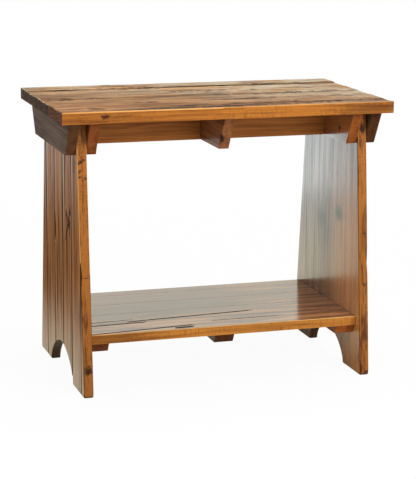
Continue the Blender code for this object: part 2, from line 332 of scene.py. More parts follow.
def open_crack(piece, normal, start, end, width, depth, stations=CRACK_STATIONS):
    """Split a flat face along a line: cuts across and along it, then its middle is pressed in."""
    normal, start, end = Vector(normal), Vector(start), Vector(end)
    along = (end - start).normalized()
    across = normal.cross(along)
    length = (end - start).length

    def on_face(face):
        away = abs((face.calc_center_median() - start).dot(normal))
        return face.normal.dot(normal) > CRACK_FACING and away < CRACK_LAYER

    open_piece(piece)
    cuts = [(start + along * length * step / stations, along) for step in range(stations + 1)]
    cuts += [(start + across * width * side, across) for side in CRACK_CUTS]
    for place, square in cuts:
        pick("faces", on_face)
        bpy.ops.mesh.bisect(plane_co=place, plane_no=square)
    shape = bmesh.from_edit_mesh(piece.data)
    hollow = shape.verts.layers.float["hollow"]
    moved = 0
    for vertex in shape.verts:
        offset = vertex.co - start
        share = offset.dot(along) / length
        aside = abs(offset.dot(across)) / width
        if aside < CRACK_SIDE and 0 < share < 1 and abs(offset.dot(normal)) < CRACK_LAYER:
            deep = math.sin(math.pi * share) ** 0.5
            vertex[hollow] = min(1.0, CRACK_SHADE_AND_DIRT * deep)
            if aside < CRACK_MIDDLE:
                vertex.co -= normal * depth * deep
                moved += 1
    bmesh.update_edit_mesh(piece.data)
    close_piece()
    return moved


def open_upper_cracks(board, number, cracks, level, stations=CRACK_STATIONS):
    """Open the cracks that a list gives for the upper face of one board."""
    for owner, start, end, width, depth in cracks:
        if owner == number:
            open_crack(board, UP, (*start, level), (*end, level), width, depth, stations)


print("cuts along a crack:", len(CRACK_CUTS))

# %% [markdown]
# ## The seat
# Six boards run from end to end. One wide slab with drawn lines would be quicker to make, but the steps
# between boards only show on separate ones. The long checks follow those of the real bench, most of them in
# the inner boards. Two wear patterns are pressed in, one broad and one fine, because worn wood has both.
# Each board then sinks by its own small amount, as old boards never lie quite level.

# %% Sizes, wear and cracks of the seat
def nodes_with(words):
    """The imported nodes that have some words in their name."""
    return [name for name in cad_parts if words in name]


TOP_NODES = sorted(nodes_with("top_board_"))
TOP_SCREWS = nodes_with("top_screw_")
SEAT_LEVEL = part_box(TOP_NODES[0])[1].z
SEAT_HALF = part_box(TOP_NODES[0])[1].x
SEAT_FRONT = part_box(TOP_NODES[0])[0].y
SEAT_GRID = (0.006, 0.002)
SEAT_JOINT = 0.0010
SEAT_ARRIS = 0.0020
CORNER_EASE = 0.003
BROAD_WEAR = (0.0008, 0.014, 10.0)
TORN_WEAR = (0.0010, 0.004, 6.0)
CLOUD_STEP = (0.31, 0.17, 0.05)
HOLLOW_DEPTH = 0.0021
SEAT_SINKS = (0.0004, 0.0, 0.0009, 0.0004, 0.0013, 0.0)
SEAT_CRACKS = [
    (1, (-0.020, -0.0690), (0.118, -0.0720), 0.0050, 0.0030),
    (0, (-0.160, -0.1485), (-0.060, -0.1440), 0.0018, 0.0012),
    (1, (0.080, -0.0900), (0.215, -0.0930), 0.0014, 0.0010),
    (3, (-0.110, 0.0120), (0.005, 0.0080), 0.0020, 0.0012),
    (3, (0.120, 0.0300), (0.262, 0.0260), 0.0016, 0.0010),
    (4, (-0.200, 0.0820), (-0.060, 0.0800), 0.0016, 0.0010),
    (4, (0.030, 0.0950), (0.170, 0.0980), 0.0014, 0.0010),
    (5, (-0.280, 0.1410), (-0.150, 0.1430), 0.0012, 0.0008),
]
print("seat height:", round(SEAT_LEVEL, 4), "cracks:", len(SEAT_CRACKS))

# %% Make the seat boards
def mark_hollows(board):
    """Keep how deep each point of the upper face lies, bar its arrises, for painted shade and dirt."""
    for vertex, mark in zip(board.data.vertices, board.data.attributes["hollow"].data):
        sunk = (SEAT_LEVEL - vertex.co.z) / HOLLOW_DEPTH
        inside = SEAT_HALF - abs(vertex.co.x) > SEAT_ARRIS and vertex.co.y > SEAT_FRONT + SEAT_ARRIS
        mark.value = max(mark.value, sunk) if inside and vertex.co.z > SEAT_LEVEL - TOP_LAYER else 0.0


seat = []
for number, node in enumerate(TOP_NODES):
    board = make_plank(TOP_NODES, number, SEAT_JOINT, SEAT_ARRIS, SEAT_GRID, TOP_SCREWS, CORNER_EASE)
    for wear in (BROAD_WEAR, TORN_WEAR):
        shift = [step * number for step in CLOUD_STEP]
        wear_down(board, SEAT_LEVEL, SEAT_FRONT + SEAT_ARRIS, *wear, shift)
    open_upper_cracks(board, number, SEAT_CRACKS, SEAT_LEVEL)
    mark_hollows(board)
    sink_top(board, SEAT_LEVEL, SEAT_FRONT + SEAT_ARRIS, SEAT_SINKS[number])
    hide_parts(node)
    seat.append(board)
print("seat boards:", [(board.name, len(board.data.polygons)) for board in seat])

# %% [markdown]
# ## The shelf
# The shelf boards are smoother: planed, varnished, with long open lines near the front. They could share
# the seat's wear, but planed boards are flat, so they get the cracks only, and a coarser grid of cuts is
# enough.

# %% Make the shelf boards
SHELF_NODES = sorted(nodes_with("shelf_board_"))
SHELF_SCREWS = nodes_with("shelf_screw_")
SHELF_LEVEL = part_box(SHELF_NODES[0])[1].z
SHELF_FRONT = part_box(SHELF_NODES[0])[0].y
SHELF_GRID = (0.030, 0.017)
SHELF_JOINT = 0.0003
SHELF_ARRIS = 0.0012
SHELF_STATIONS = 14
SHELF_CRACKS = [
    (1, (-0.1700, -0.0770), (0.0850, -0.0560), 0.0052, 0.0030),
    (0, (-0.2500, -0.0905), (-0.1300, -0.0860), 0.0052, 0.0030),
    (0, (-0.2510, -0.1450), (-0.0500, -0.1250), 0.0052, 0.0030),
    (1, (-0.2500, -0.0700), (-0.1500, -0.0640), 0.0030, 0.0014),
    (0, (-0.0200, -0.1100), (0.1200, -0.1050), 0.0026, 0.0014),
    (0, (-0.0950, -0.1400), (-0.0560, -0.1370), 0.0070, 0.0030),
]
shelf = []
for number, node in enumerate(SHELF_NODES):
    board = make_plank(SHELF_NODES, number, SHELF_JOINT, SHELF_ARRIS, SHELF_GRID, SHELF_SCREWS)
    open_upper_cracks(board, number, SHELF_CRACKS, SHELF_LEVEL, SHELF_STATIONS)
    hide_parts(node)
    shelf.append(board)
print("shelf boards:", [(board.name, len(board.data.polygons)) for board in shelf])

# %% [markdown]
# ## Sawn pieces with their real joints
# Panel boards, cleats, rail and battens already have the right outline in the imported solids, with tongues,
# mortises and screw holes. They could be modelled again from blocks, but every joint would be cut twice. So
# a merged copy of each is cleaned up into flat faces, and the edges that a hand would touch are eased.

# %% A helper that copies a solid and eases its long edges
FLAT_ANGLE = math.radians(0.5)


def new_piece(name, mesh):
    """An object at the origin that shows a mesh."""
    piece = bpy.data.objects.new(name, mesh)
    bpy.context.scene.collection.objects.link(piece)
    return piece


def sawn_copy(node, *easings):
    """A cleaned copy of a solid. Each easing is a width and a test for the edges that get such a bevel."""
    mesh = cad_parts[node].data.copy()
    mesh.materials.clear()
    mesh.attributes.new("hollow", "FLOAT", "POINT")
    piece = new_piece("worn_" + node, mesh)
    open_piece(piece)
    bpy.ops.mesh.select_all(action="SELECT")
    bpy.ops.mesh.remove_doubles(threshold=TINY)
    bpy.ops.mesh.dissolve_limited(angle_limit=FLAT_ANGLE)
    for ease, eased in easings:
        if pick("edges", lambda e: len(e.link_faces) == 2 and eased(e)):
            bpy.ops.mesh.bevel(offset=ease, segments=ARRIS_STEPS, affect="EDGES")
    close_piece()
    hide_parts(node)
    return piece


print("faces within", round(math.degrees(FLAT_ANGLE), 1), "degrees become one")

# %% Make the cleats, the rail and the battens
CLEAT_EASE = 0.0010
CORNER_ANGLE = math.radians(40)
LONG_EDGE = 0.012


def square_edge(edge):
    """A long edge between two faces that meet at a corner, away from holes and joints."""
    return edge.calc_face_angle(0.0) > CORNER_ANGLE and edge.calc_length() > LONG_EDGE


def sawn_copies(ending):
    """Eased copies of all solids whose names have an ending."""
    nodes = sorted(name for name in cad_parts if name.endswith(ending))
    return [sawn_copy(node, (CLEAT_EASE, square_edge)) for node in nodes]


cleats = sawn_copies("_cleat")
battens = sawn_copies("_batten")
rail = sawn_copies("_rail")[0]
print("cleats:", len(cleats), "battens:", len(battens), "rail:", rail.name)

# %% [markdown]
# ## The plank ends
# Each end is six upright boards. The foremost is a thin wedge, left over where the taper cuts across a
# board, and the taper also cuts through its joint. A glued joint is tight there, so the groove is drawn in
# to the tongue. A Bevel modifier would ease the hidden joints as well, so tests choose the edges: those
# that were trimmed after gluing, and those round the soles of the feet, which a first and wider bevel
# rounds more.

# %% Helpers that choose the edges of a panel board and close its joint
SHORT_EDGE = 0.001
SOLE_LAYER = 0.0034
ALONG_X = 0.1
SQUARE_TO_Y = 0.999
GROOVE_WALL = 1.3
TIGHTER = 1.01


def broad_edge_test(node, also):
    """A test for the longer edges in the two broad faces of a panel board that pass another test too."""
    sides = [corner.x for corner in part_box(node)]

    def passes(edge):
        broad = any(all(abs(v.co.x - side) < TINY for v in edge.verts) for side in sides)
        return broad and edge.calc_length() > SHORT_EDGE and also(edge)

    return passes


def trimmed(edge):
    """Whether an edge borders the trimmed outline."""
    cuts = [abs(f.normal.x) < ALONG_X and abs(f.normal.y) < SQUARE_TO_Y for f in edge.link_faces]
    return sum(cuts) == 1


def round_sole(edge):
    """Whether an edge goes round the sole of a foot."""
    return all(v.co.z < SOLE_LAYER for v in edge.verts)


def box_middle(piece, axis):
    """The middle of a piece's box along an axis (0, 1 or 2)."""
    return sum(corner[axis] for corner in piece.bound_box) / len(piece.bound_box)


def tighten_groove(piece, joint):
    """Draw the walls of a board's front groove in to the tongue that fills it."""
    middle = box_middle(piece, 0)
    half = TONGUE_THICKNESS / 2

    def on_wall(vertex):
        aside = abs(vertex.co.x - middle)
        return abs(vertex.co.y - joint - half) < 2 * half and half < aside < GROOVE_WALL * half

    open_piece(piece)
    count = pick("verts", on_wall)
    tight = half / (half + CLEARANCE) * TIGHTER
    bpy.ops.transform.resize(value=(tight, 1.0, 1.0), center_override=(middle, 0.0, 0.0))
    close_piece()
    return count


print("height of the rounded soles:", SOLE_LAYER)

# %% Make the panel boards
PANEL_EASE = 0.0010
SOLE_EASE = 0.0025
PANEL_CRACKS = {
    "left_panel_board_3": [((-0.079, 0.326), (-0.040, 0.258), 0.0048, 0.0030),
                           ((-0.042, 0.322), (-0.080, 0.264), 0.0040, 0.0024)],
    "left_panel_board_4": [((0.046, 0.292), (0.043, 0.236), 0.0042, 0.0026)],
}
panels = []
for node in sorted(nodes_with("_panel_board_")):
    easings = [(SOLE_EASE, broad_edge_test(node, round_sole)), (PANEL_EASE, broad_edge_test(node, trimmed))]
    board = sawn_copy(node, *easings)
    if node.endswith("_2"):
        print(node, "groove corners drawn in:", tighten_groove(board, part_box(node)[0].y))
    for start, end, width, depth in PANEL_CRACKS.get(node, []):
        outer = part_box(node)[0].x
        print(node, "crack:", open_crack(board, (-1, 0, 0), (outer, *start), (outer, *end), width, depth))
    panels.append(board)
print("panel boards:", len(panels))

# %% [markdown]
# ## Screws
# Countersunk wood screws hold the cleats and battens. Each could be turned from a profile, but they differ
# only in length. So one is modelled from a cone, with a ridged shank and a cross recess, and the others are
# copies with their own mesh, whose necks are stretched to the length they need.

# %% Model one screw
HEAD_RADIUS = 0.0042
HEAD_HEIGHT = 0.0024
SHANK_RADIUS = 0.0021
SHANK_SIDES = 20
ROOT_SHARE = 0.72
TIP_LENGTH = 0.005
TIP_SHARE = 0.2
RIDGES = 7
RIDGE_PITCH = 0.0018
RECESS_LENGTH = 0.0044
RECESS_WIDTH = 0.0011
RECESS_DEPTH = 0.0014


def grow(height, share):
    """Extrude the picked end of the screw and scale it to a share of its width."""
    bpy.ops.mesh.extrude_region_move(TRANSFORM_OT_translate={"value": (0, 0, height)})
    bpy.ops.transform.resize(value=(share, share, 1.0))


def model_screw(length):
    """A countersunk screw that points up, with its head's flat face at the origin."""
    bpy.ops.object.select_all(action="DESELECT")
    bpy.ops.mesh.primitive_cone_add(vertices=SHANK_SIDES, radius1=HEAD_RADIUS, radius2=SHANK_RADIUS,
                                    depth=HEAD_HEIGHT, location=(0, 0, HEAD_HEIGHT / 2))
    bpy.ops.object.transform_apply(location=True, rotation=True, scale=True)
    screw = bpy.context.object
    open_piece(screw)
    pick("faces", lambda f: f.normal.z > SQUARE_ON)
    grow(length - HEAD_HEIGHT - TIP_LENGTH - RIDGES * RIDGE_PITCH, 1.0)
    for _ in range(RIDGES):
        grow(RIDGE_PITCH / 2, ROOT_SHARE)
        grow(RIDGE_PITCH / 2, 1 / ROOT_SHARE)
    grow(TIP_LENGTH, TIP_SHARE)
    close_piece()
    for reach in ((RECESS_LENGTH, RECESS_WIDTH), (RECESS_WIDTH, RECESS_LENGTH)):
        half = Vector((*reach, 2 * RECESS_DEPTH)) / 2
        cut_away(screw, block("driver", -half, half))
    return screw


def screw_length(node):
    """The longest side of a screw's box."""
    low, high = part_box(node)
    return max(high - low)


SCREW_NODES = sorted(nodes_with("_screw_"))
shortest = min(screw_length(node) for node in SCREW_NODES)
pattern = model_screw(shortest)
print("shortest screw:", round(shortest, 4), "faces:", len(pattern.data.polygons))

# %% Copy the screw to every place
SMOOTH_ANGLE = math.radians(30)


def place_screw(master, node, master_length):
    """Copy the screw into a node's place, with its head on the low side or towards the middle."""
    low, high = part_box(node)
    middle = (low + high) / 2
    screw = new_piece("turned_" + node, master.data.copy())
    open_piece(screw)
    pick("verts", lambda v: v.co.z > HEAD_HEIGHT + CLEARANCE)
    bpy.ops.transform.translate(value=(0, 0, screw_length(node) - master_length))
    close_piece()
    if high.z - low.z > high.x - low.x:
        screw.location = (middle.x, middle.y, low.z)
    else:
        side = math.copysign(1.0, middle.x)
        screw.location = (low.x if side > 0 else high.x, middle.y, middle.z)
        screw.rotation_euler = (0.0, side * math.pi / 2, 0.0)
    select_alone(screw)
    bpy.ops.object.transform_apply(location=True, rotation=True, scale=True)
    bpy.ops.object.shade_smooth_by_angle(angle=SMOOTH_ANGLE)
    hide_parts(node)
    return screw


screws = [place_screw(pattern, node, shortest) for node in SCREW_NODES]
bpy.data.objects.remove(pattern)
print("screws:", len(screws))

# %% [markdown]
# ## Timber coordinates
# A finish needs to know where each point lay in the log: along the grain, and how far from the heart. With
# the bench's own coordinates one figure would run through all boards, but each was sawn from another place.
# So each piece stores log coordinates of its own in an attribute called timber, and its tint in one called
# stain.

# %% A helper that gives a piece its place in the log
GRAIN_ORDER = {"X": (0, 1, 2), "Y": (1, 0, 2), "Z": (2, 1, 0)}
LOG_LENGTH = 20.0
OFF_CENTRE = 0.02
FROM_HEART = (0.035, 0.080)
chance = random.Random(11)


def saw_from_log(piece, grain, stain, origin=None):
    """Store log coordinates and a stain. A piece ripped from another's plank is given its origin."""
    mesh = piece.data
    order = GRAIN_ORDER[grain]
    middle = [box_middle(piece, axis) for axis in order]
    sideways = chance.uniform(-OFF_CENTRE, OFF_CENTRE)
    outwards = chance.choice((-1, 1)) * chance.uniform(*FROM_HEART)
    start = origin or [chance.uniform(0.0, LOG_LENGTH), sideways - middle[1], outwards - middle[2]]
    timber = mesh.attributes.new("timber", "FLOAT_VECTOR", "POINT")
    for vertex, item in zip(mesh.vertices, timber.data):
        item.vector = [vertex.co[axis] + shift for axis, shift in zip(order, start)]
    colour = mesh.attributes.new("stain", "FLOAT_COLOR", "POINT")
    colour.data.foreach_set("color", [*stain, 1.0] * len(mesh.vertices))
    return start


print("directions of the grain:", list(GRAIN_ORDER))

# %% [markdown]
# ## Building finishes from nodes
# A finish is a material made of shader nodes. They could be wired by hand in the node editor, but a script
# can be read, changed and run again. A short helper adds a node, sets it up and feeds its inputs, so that a
# finish reads from top to bottom like a recipe.

# %% Helpers that add shader nodes
def feed(tree, sockets, values):
    """Link each input that is given a socket, and set the others."""
    for name, value in values.items():
        if isinstance(value, bpy.types.NodeSocket):
            tree.links.new(value, sockets[name])
        else:
            sockets[name].default_value = value


def add(tree, kind, inputs=None, output=0, **settings):
    """Add a shader node, set it up, feed its inputs and give back one of its outputs."""
    node = tree.nodes.new("ShaderNode" + kind)
    for name, value in settings.items():
        setattr(node, name, value)
    feed(tree, node.inputs, inputs or {})
    return node.outputs[output]


def chain(tree, operation, first, *others):
    """Arithmetic on two or more values, from left to right."""
    for other in others:
        first = add(tree, "Math", {0: first, 1: other}, operation=operation)
    return first


def total(tree, *values):
    """The sum of some values."""
    return chain(tree, "ADD", *values)


def times(tree, *values):
    """The product of some values."""
    return chain(tree, "MULTIPLY", *values)


def largest(tree, *values):
    """The largest of some values."""
    return chain(tree, "MAXIMUM", *values)


def distance(tree, value, place):
    """How far a value lies from a place."""
    return chain(tree, "ABSOLUTE", chain(tree, "SUBTRACT", value, place), 0.0)


def spread(tree, value, low, high, to_low=0.0, to_high=1.0, smooth=False):
    """Stretch a range of values to another range, clamped at its ends."""
    shape = "SMOOTHSTEP" if smooth else "LINEAR"
    inputs = {"Value": value, "From Min": low, "From Max": high, "To Min": to_low, "To Max": to_high}
    return add(tree, "MapRange", inputs, interpolation_type=shape)


def blend(tree, factor, first, second, how="MIX"):
    """Mix two colours, inputs 6 and 7 of the node, by a factor."""
    return add(tree, "Mix", {0: factor, 6: first, 7: second}, 2, data_type="RGBA", blend_type=how)


print("helpers for arithmetic:", [helper.__name__ for helper in (total, times, largest, distance, spread)])

# %% Helpers for places and noise
def bench_place(tree):
    """Where a point lies on the bench. Every piece has its origin where the bench has its own."""
    return add(tree, "TexCoord", output="Object")


def separate(tree, vector):
    """The three numbers of a vector."""
    return list(add(tree, "SeparateXYZ", {0: vector}).node.outputs)


def stretched_noise(tree, place, scale, detail, output=0):
    """Noise that is drawn out along the grain."""
    drawn = add(tree, "Mapping", {"Vector": place, "Scale": scale})
    return add(tree, "TexNoise", {"Vector": drawn, "Scale": 1.0, "Detail": detail}, output)


def noise_mask(tree, scale, detail, low, high, to_low=0.0, to_high=1.0):
    """Drawn-out noise over the bench, with a range of its values stretched to another range."""
    return spread(tree, stretched_noise(tree, bench_place(tree), scale, detail), low, high, to_low, to_high)


def new_group(name, inputs, outputs):
    """An empty node group, with its input sockets as outputs of one node and its output node."""
    group = bpy.data.node_groups.new(name, "ShaderNodeTree")
    for side, sockets in (("INPUT", inputs), ("OUTPUT", outputs)):
        for socket, kind in sockets.items():
            group.interface.new_socket(socket, in_out=side, socket_type="NodeSocket" + kind)
    return group, group.nodes.new("NodeGroupInput"), group.nodes.new("NodeGroupOutput")


print("groups so far:", len(bpy.data.node_groups))

# %% [markdown]
# ## Grain
# Year rings are cylinders round the heart of the log, swayed a little along its length. Cutting a board
# through them draws the long lines and arches of the grain. A plain wave would look like stripes. A real
# ring darkens towards its outer side and then starts again pale, so the wave here is a saw tooth. Streaks,
# fine fibres, short pores and broad patches come from noise that is drawn out along the grain.

# %% The grain group
RING_SCALE = 42.0
LATE_POWER = 2.2
SWAY = 0.022
SWAY_SCALE = (2.4, 12.0, 12.0)
SWAY_DETAIL = 2.0
SWAYED = {
    "Streak": ((3.2, 85.0, 85.0), 4.0, 0.34, 0.66),
    "Line": ((4.5, 200.0, 200.0), 3.0, 0.36, 0.64),
    "Fibre": ((10.0, 420.0, 420.0), 2.0, 0.3, 0.7),
}
STRAIGHT = {
    "Patch": ((5.0, 24.0, 24.0), 2.0, 0.34, 0.66),
    "Pores": ((34.0, 700.0, 700.0), 1.0, 0.58, 0.72),
}


def make_grain_group():
    """Late wood, streaks, lines, fibres, patches and pores, all from the log coordinates."""
    outputs = {name: "Float" for name in ("Late", *SWAYED, *STRAIGHT)}
    group, _, result = new_group("timber_grain", {}, outputs)
    place = add(group, "Attribute", output="Vector", attribute_name="timber")
    sway = stretched_noise(group, place, SWAY_SCALE, SWAY_DETAIL, "Color")
    bent = add(group, "VectorMath", {0: sway, 1: (0.0, SWAY, SWAY), 2: place}, operation="MULTIPLY_ADD")
    rings = add(group, "TexWave", {"Vector": bent, "Scale": RING_SCALE}, "Fac", wave_type="RINGS",
                rings_direction="X", wave_profile="SAW")
    made = {"Late": chain(group, "POWER", rings, LATE_POWER)}
    for start, noises in ((bent, SWAYED), (place, STRAIGHT)):
        for name, (scale, detail, low, high) in noises.items():
            made[name] = spread(group, stretched_noise(group, start, scale, detail), low, high)
    feed(group, result.inputs, made)
    return group


GRAIN = make_grain_group()
print("parts of the grain:", [item.name for item in GRAIN.interface.items_tree])

# %% [markdown]
# ## Knots and stains
# A knot or a stain is a dark spot with a ragged edge. It could be painted on an image, but a spot made of
# nodes stays sharp at any size. One node group makes a spot from a place on the bench and a size, and noise
# frays it.

# %% The blot group
FRAY_SCALE = 160.0
FRAY_DETAIL = 3.0
FRAY = (1.4, 1.4, 1.4)
NOISE_MIDDLE = (0.5, 0.5, 0.5)
SPOT_EDGE = (1.0, 0.25)


def make_blot_group():
    """A soft ragged spot at a place on the bench, for knots, stains and worn places."""
    group, given, result = new_group("blot", {"Centre": "Vector", "Size": "Vector"}, {"Mask": "Float"})
    place = bench_place(group)
    ragged = add(group, "TexNoise", {"Vector": place, "Scale": FRAY_SCALE, "Detail": FRAY_DETAIL}, "Color")
    ragged = add(group, "VectorMath", {0: ragged, 1: NOISE_MIDDLE}, operation="SUBTRACT")
    offset = add(group, "VectorMath", {0: place, 1: given.outputs["Centre"]}, operation="SUBTRACT")
    share = add(group, "VectorMath", {0: offset, 1: given.outputs["Size"]}, operation="DIVIDE")
    share = add(group, "VectorMath", {0: ragged, 1: FRAY, 2: share}, operation="MULTIPLY_ADD")
    far = add(group, "VectorMath", {0: share}, "Value", operation="LENGTH")
    feed(group, result.inputs, {"Mask": spread(group, far, *SPOT_EDGE, smooth=True)})
    return group


BLOT = make_blot_group()
print("sockets of a blot:", [item.name for item in BLOT.interface.items_tree])

# %% [markdown]
# ## A wood finish
# The recipe for every face of the bench: pale and dark wood mixed by the grain, tinted by the stain, made
# paler on some faces by wear and by painted light, darkened by knots, dirt and painted shade in hollows,
# under a clear varnish. Each finish could have a tree drawn for it alone, but old wood is alike all over. So
# one recipe makes all of them, and the figure of a finish says how strongly each part of the grain shows.

# %% Shade and dark places of a wood finish
KNOT_AND_SHADE_BROWN = (0.020, 0.010, 0.006)
PLANED = {"Late": 0.5, "Streak": 0.6, "Fibre": 0.25, "Patch": 0.35, "Pores": 0.3}
MEAN_SHADE = 0.42
LATE_MEAN = 0.35
NOISE_MEAN = 0.5
# Hollows and cracks darken over this range of depth, as painted shade and dirt.
HOLLOW_RANGE = (0.35, 1.0)


def new_material(name):
    """A material with nodes, and its tree."""
    material = bpy.data.materials.new(name)
    material.use_nodes = True
    return material, material.node_tree


def grain_shade(tree, grain, figure):
    """How dark the grain is, from 0 to 1, by the weight that each part of it has in a figure."""
    shade = MEAN_SHADE
    for part, amount in figure.items():
        away = chain(tree, "SUBTRACT", grain[part], LATE_MEAN if part == "Late" else NOISE_MEAN)
        shade = total(tree, shade, times(tree, away, amount))
    return spread(tree, shade, 0.0, 1.0)


def dark_mask(tree, blots, dirt):
    """Where painted shade in hollows and cracks, knots, stains and dirt darken the wood."""
    hollow = add(tree, "Attribute", output="Fac", attribute_name="hollow")
    mask = spread(tree, hollow, *HOLLOW_RANGE)
    for centre, size, strength in blots:
        spot = add(tree, "Group", {"Centre": centre, "Size": size}, "Mask", node_tree=BLOT)
        mask = largest(tree, times(tree, spot, strength), mask)
    return largest(tree, dirt(tree), mask) if dirt else mask


print("parts of planed grain:", list(PLANED))

# %% A helper that makes a wood finish
ROUGHER = 0.1
FIBRE_RELIEF = 0.3
BUMP_STRENGTH = 0.5


def wood_finish(name, light, dark, figure=PLANED, roughness=0.3, gloss=0.3, relief=0.0002,
                coat=0.0, coat_index=1.5, haze=0.1, thin=0.0, blots=(),
                dirt=None, dirt_and_shade_colour=KNOT_AND_SHADE_BROWN, wear_and_light=None, wear_and_light_colour=None):
    """A wood material. dirt and wear_and_light make masks in its tree; thin is how much lines break the coat.
    """
    material, tree = new_material(name)
    shader = tree.nodes["Principled BSDF"].inputs
    grain = add(tree, "Group", node_tree=GRAIN).node.outputs
    shade = grain_shade(tree, grain, figure)
    mask = dark_mask(tree, blots, dirt)
    stain = add(tree, "Attribute", output="Color", attribute_name="stain")
    colour = blend(tree, shade, (*light, 1.0), (*dark, 1.0))
    colour = blend(tree, 1.0, colour, stain, "MULTIPLY")
    # This mask is real wear on some finishes and painted light on others.
    if wear_and_light:
        colour = blend(tree, wear_and_light(tree), colour, (*wear_and_light_colour, 1.0))
    worn = total(tree, shade, mask)
    height = total(tree, times(tree, grain["Fibre"], FIBRE_RELIEF), worn)
    bump = {"Height": height, "Distance": relief, "Strength": BUMP_STRENGTH}
    feed(tree, shader, {
        "Base Color": blend(tree, mask, colour, (*dirt_and_shade_colour, 1.0)),
        "Roughness": total(tree, roughness, times(tree, worn, ROUGHER)),
        "Normal": add(tree, "Bump", bump, "Normal", invert=True),
        "Specular IOR Level": gloss, "Coat Weight": coat, "Coat IOR": coat_index, "Coat Roughness": haze})
    if thin:
        broken = spread(tree, grain["Line"], 0.0, 1.0, coat, coat * (1.0 - thin))
        feed(tree, shader, {"Coat Weight": broken})
    return material


print("bump strength of the finishes:", BUMP_STRENGTH)

# %% Helpers that place marks and paint faces
MARK_DEPTH = 0.010
TILTED = 0.25


def face_marks(axis, level, rows):
    """Spots on a flat face. A row has two places and two sizes along the face, and a strength."""
    marks = []
    for first, second, width, height, strength in rows:
        centre, size = [first, second], [width, height]
        centre.insert(axis, level)
        size.insert(axis, MARK_DEPTH)
        marks.append((centre, size, strength))
    return marks


def joint_phase(tree, value, joints):
    """How far a point lies behind a joint in a row of equal boards, from 0 to 1 at the next joint."""
    pitch = (joints[-1] - joints[0]) / (len(joints) - 1)
    along = chain(tree, "DIVIDE", chain(tree, "SUBTRACT", value, joints[0]), pitch)
    return chain(tree, "FRACT", along, 0.0)


def paint(piece, finishes):
    """Give each face the finish listed for its direction: -Y+Z for an arris, or +Z, or X for both sides."""
    used = []
    for face in piece.data.polygons:
        signs = [("+" if part > 0 else "-") + letter for part, letter in zip(face.normal, "XYZ")]
        axis = max(range(3), key=lambda number: abs(face.normal[number]))
        tilted = "".join(sign for sign, part in zip(signs, face.normal) if abs(part) > TILTED)
        finish = finishes.get(tilted) or finishes.get(signs[axis]) or finishes["XYZ"[axis]]
        if finish not in used:
            used.append(finish)
            piece.data.materials.append(finish)
        face.material_index = used.index(finish)


def repaint(piece, finish, test):
    """Give another finish to the faces that pass a test."""
    piece.data.materials.append(finish)
    for face in piece.data.polygons:
        if test(face):
            face.material_index = len(piece.data.materials) - 1


print("faces tilted by more than", TILTED, "count as arrises")

# %% [markdown]
# ## Dirt and wear of the seat
# The seat is weathered and dull, torn beside its joints and dirty behind its front arris. A dirt picture
# would repeat, so noise makes the dirt: each kind is drawn-out noise, limited to where hands and boots have
# worn the wood. A named value holds the noise's scale in X, Y and Z, its detail, the range of it that shows
# and, where it matters, how strongly.

# %% Masks of the seat
SEAT_JOINTS = [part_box(name)[0].y for name in TOP_NODES[1:]]
TICKS = ((70.0, 80.0, 1.0), 3.0, 0.46, 0.60)
TORN_PATCHES = ((10.0, 22.0, 1.0), 3.0, 0.46, 0.58)
TORN_STRENGTH = 0.9
BOARD_MIDDLE = 0.5
BESIDE_JOINT = (0.0, 0.35)
DIRT_LINES = ((13.0, 85.0, 1.0), 5.0, 0.50, 0.66, 0.0, 0.55)
RAGGED = ((70.0, 45.0, 1.0), 3.0, 0.32, 0.46)
FRONT_BAND = (SEAT_FRONT + 0.044, SEAT_FRONT + 0.024)
FRONT_TEAR_MIDDLE = -0.06
FRONT_TEAR_FADE = (0.17, 0.10, 0.3, 1.0)
SPECKS = ((150.0, 60.0, 1.0), 2.0, 0.42, 0.56)
SLANT_ENDS = (0.03, 0.29)
SLANT_PLACES = (SEAT_FRONT + 0.016, SEAT_JOINTS[0])
SLANT_WIDTH = (0.015, 0.006)
SLANT_START = (SLANT_ENDS[0] - 0.04, SLANT_ENDS[0], 0.0, 0.9)
SEAM_GAPS = ((14.0, 9.0, 1.0), 4.0, 0.42, 0.54)
BLEACH = ((9.0, 34.0, 1.0), 3.0, 0.38, 0.60)
BLEACH_AND_SHEEN_SLANT = 2.2
BLEACH_AND_SHEEN_SIDE = (-0.25, 0.35, 0.05, 1.0)
SAW_STROKES = (280.0, 1.0, 60.0)
SAW_CUTS = (2.0, 0.48, 0.66)
SAW_PLACES = (9.0, 1.0, 60.0)
SAW_FADE = (2.0, 0.38, 0.62, 0.0)
SAW_STRENGTH = 0.35


def seat_dirt(tree):
    """Torn grain beside the joints, behind the front arris and on a line that slants from it to a joint."""
    x, y, _ = separate(tree, bench_place(tree))
    phase = joint_phase(tree, y, SEAT_JOINTS)
    beside = spread(tree, distance(tree, phase, BOARD_MIDDLE), *BESIDE_JOINT)
    torn = times(tree, noise_mask(tree, *TICKS), noise_mask(tree, *TORN_PATCHES), beside, TORN_STRENGTH)
    aside = spread(tree, distance(tree, x, FRONT_TEAR_MIDDLE), *FRONT_TEAR_FADE)
    front = times(tree, spread(tree, y, *FRONT_BAND), noise_mask(tree, *RAGGED), aside)
    slant = spread(tree, x, *SLANT_ENDS, *SLANT_PLACES)
    near = spread(tree, distance(tree, y, slant), *SLANT_WIDTH)
    slanted = times(tree, noise_mask(tree, *SPECKS), near, spread(tree, x, *SLANT_START))
    return largest(tree, torn, noise_mask(tree, *DIRT_LINES), front, slanted)


def seam_gaps(tree):
    """Long stretches of a seam that dirt has filled."""
    return noise_mask(tree, *SEAM_GAPS)


def seat_bleach_and_sheen(tree):
    """Greyish worn patches with a painted sheen, most of them towards the right and the rear."""
    x, y, _ = separate(tree, bench_place(tree))
    side = spread(tree, total(tree, x, times(tree, y, BLEACH_AND_SHEEN_SLANT)), *BLEACH_AND_SHEEN_SIDE)
    return times(tree, noise_mask(tree, *BLEACH), side)


